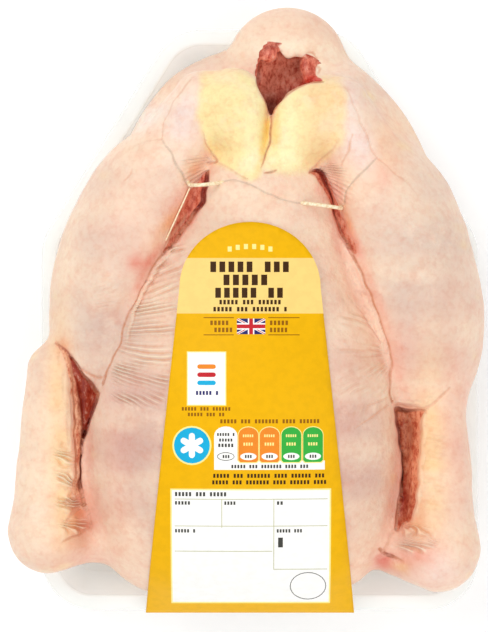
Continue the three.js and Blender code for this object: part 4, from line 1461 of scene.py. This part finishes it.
def in_steps(points, most=1.6):
    """An outline's points with more along its long sides."""
    out = []
    for a, b in zip(points, points[1:] + points[:1]):
        count = max(1, math.ceil(math.dist(a, b) / most))
        out += [(a[0] + (b[0] - a[0]) * n / count, a[1] + (b[1] - a[1]) * n / count) for n in range(count)]
    return out


def anticlockwise(points):
    area = sum(x0 * y1 - x1 * y0 for (x0, y0), (x1, y1) in zip(points, points[1:] + points[:1]))
    return points if area > 0 else points[::-1]


def band_field(points):
    """The band's edges follow the label's sides, so they get points along them."""
    ys = [y for _, y in points]
    rising = np.linspace(min(ys), max(ys), 20)
    edge = [(LABEL_MIDDLE + float(label_half_width(y)) - 0.02, y) for y in rising]
    return edge + [(2 * LABEL_MIDDLE - x, y) for x, y in reversed(edge)]


def make_label():
    outline = [(float(x), float(y)) for x, y in label_outline()]
    fields = [("gold", outline)]
    for ink, points in print_marks():
        places = anticlockwise([in_plan(*point) for point in points])
        places = band_field(places) if ink == "band" else clip_to_label(places)
        fields.append((ink, in_steps(places)))
    coordinates, faces = [], []
    for _, points in fields:
        faces.append(list(range(len(coordinates), len(coordinates) + len(points))))
        coordinates += [Vector(point) for point in points]
    for y in np.arange(LABEL_FRONT + 1.5, LABEL_ARCH_FOOT + LABEL_ARCH_HEIGHT - 1, 2.5):
        half = float(label_half_width(y)) - 1
        for x in np.arange(-half, half, 2.5):
            coordinates.append(Vector((LABEL_MIDDLE + x, y)))
    points, _, triangles, _, _, sources = delaunay_2d_cdt(coordinates, [], faces, 1, 1e-5)
    x, y = np.array(points).T
    z = label_heights()(x, y)
    count = len(points)
    top = np.stack([x, y, z + LABEL_THICKNESS], 1)
    under = np.stack([x, y, z], 1)
    inks = list(INKS)
    skins = [inks.index(fields[max(source)][0]) for source in sources]
    sides = {(a, b) for t in triangles for a, b in zip(t, (*t[1:], t[0]))}
    rim = sorted((a, b) for a, b in sides if (b, a) not in sides)
    shell = [tuple(t) for t in triangles]
    shell += [tuple(n + count for n in reversed(t)) for t in triangles]
    shell += [(b, a, a + count, b + count) for a, b in rim]
    label = mesh_object("breast_label", np.concatenate([top, under]), shell, smooth=False)
    for name in inks:
        label.data.materials.append(ink_material(name, INKS[name]))
    white = inks.index("white")
    skins += [white] * (len(shell) - len(skins))
    label.data.polygons.foreach_set("material_index", skins)
    label.data.polygons.foreach_set("use_smooth", [n < len(triangles) for n in range(len(shell))])
    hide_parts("label")
    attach(label, "root")


# The stage: a pale floor, soft light and a camera straight above. Sizes here are in metres.
# The floor lies a little under the tray, so that the two don't flicker into each other.
FLOOR_DROP = -0.0003
FLOOR_SIZE = 6
# Each light's name, place, size and power.
LIGHTS = [
    ("key", (-0.7, 0.9, 1.5), 1.2, 13),
    ("fill", (1.0, -0.5, 1.4), 1.4, 7),
    ("front", (-0.2, -1.3, 1.1), 1.2, 5),
]
WORLD_STRENGTH = 0.62


def make_floor():
    bpy.ops.mesh.primitive_plane_add(size=FLOOR_SIZE, location=(0, 0, FLOOR_DROP))
    floor = bpy.context.active_object
    floor.name = "floor"
    look = Look("pale_floor")
    look.set("Base Color", (0.96, 0.96, 0.96))
    look.set("Roughness", 0.9)
    look.set("Emission Color", (1, 1, 1))
    look.set("Emission Strength", 0.12)
    floor.data.materials.append(look.material)


def make_light(name, place, size, power):
    light = bpy.data.lights.new(name, "AREA")
    light.size = size
    light.energy = power
    obj = bpy.data.objects.new(name, light)
    bpy.context.collection.objects.link(obj)
    obj.location = place
    obj.rotation_euler = (-Vector(place)).to_track_quat("-Z", "Y").to_euler()


def make_stage():
    make_floor()
    for light in LIGHTS:
        make_light(*light)
    world = bpy.data.worlds.new("soft_studio")
    bpy.context.scene.world = world
    world.use_nodes = True
    background = world.node_tree.nodes["Background"]
    background.inputs["Color"].default_value = (1, 1, 1, 1)
    background.inputs["Strength"].default_value = WORLD_STRENGTH
    bpy.context.scene.view_settings.view_transform = "Standard"


def make_camera():
    height, level = 3.0, 50
    camera = bpy.data.cameras.new("camera")
    camera.sensor_width = 36
    camera.lens = 36 * height / (PHOTO_SIZE[1] * PIXEL * MM)
    camera.clip_end = 20
    obj = bpy.data.objects.new("camera", camera)
    bpy.context.collection.objects.link(obj)
    x, y = in_plan(PHOTO_SIZE[0] / 2, PHOTO_SIZE[1] / 2)
    obj.location = (x * MM, y * MM, height + level * MM)
    bpy.context.scene.camera = obj


make_camera()
make_bird()
make_tray()
make_elastic()
make_label()
make_stage()
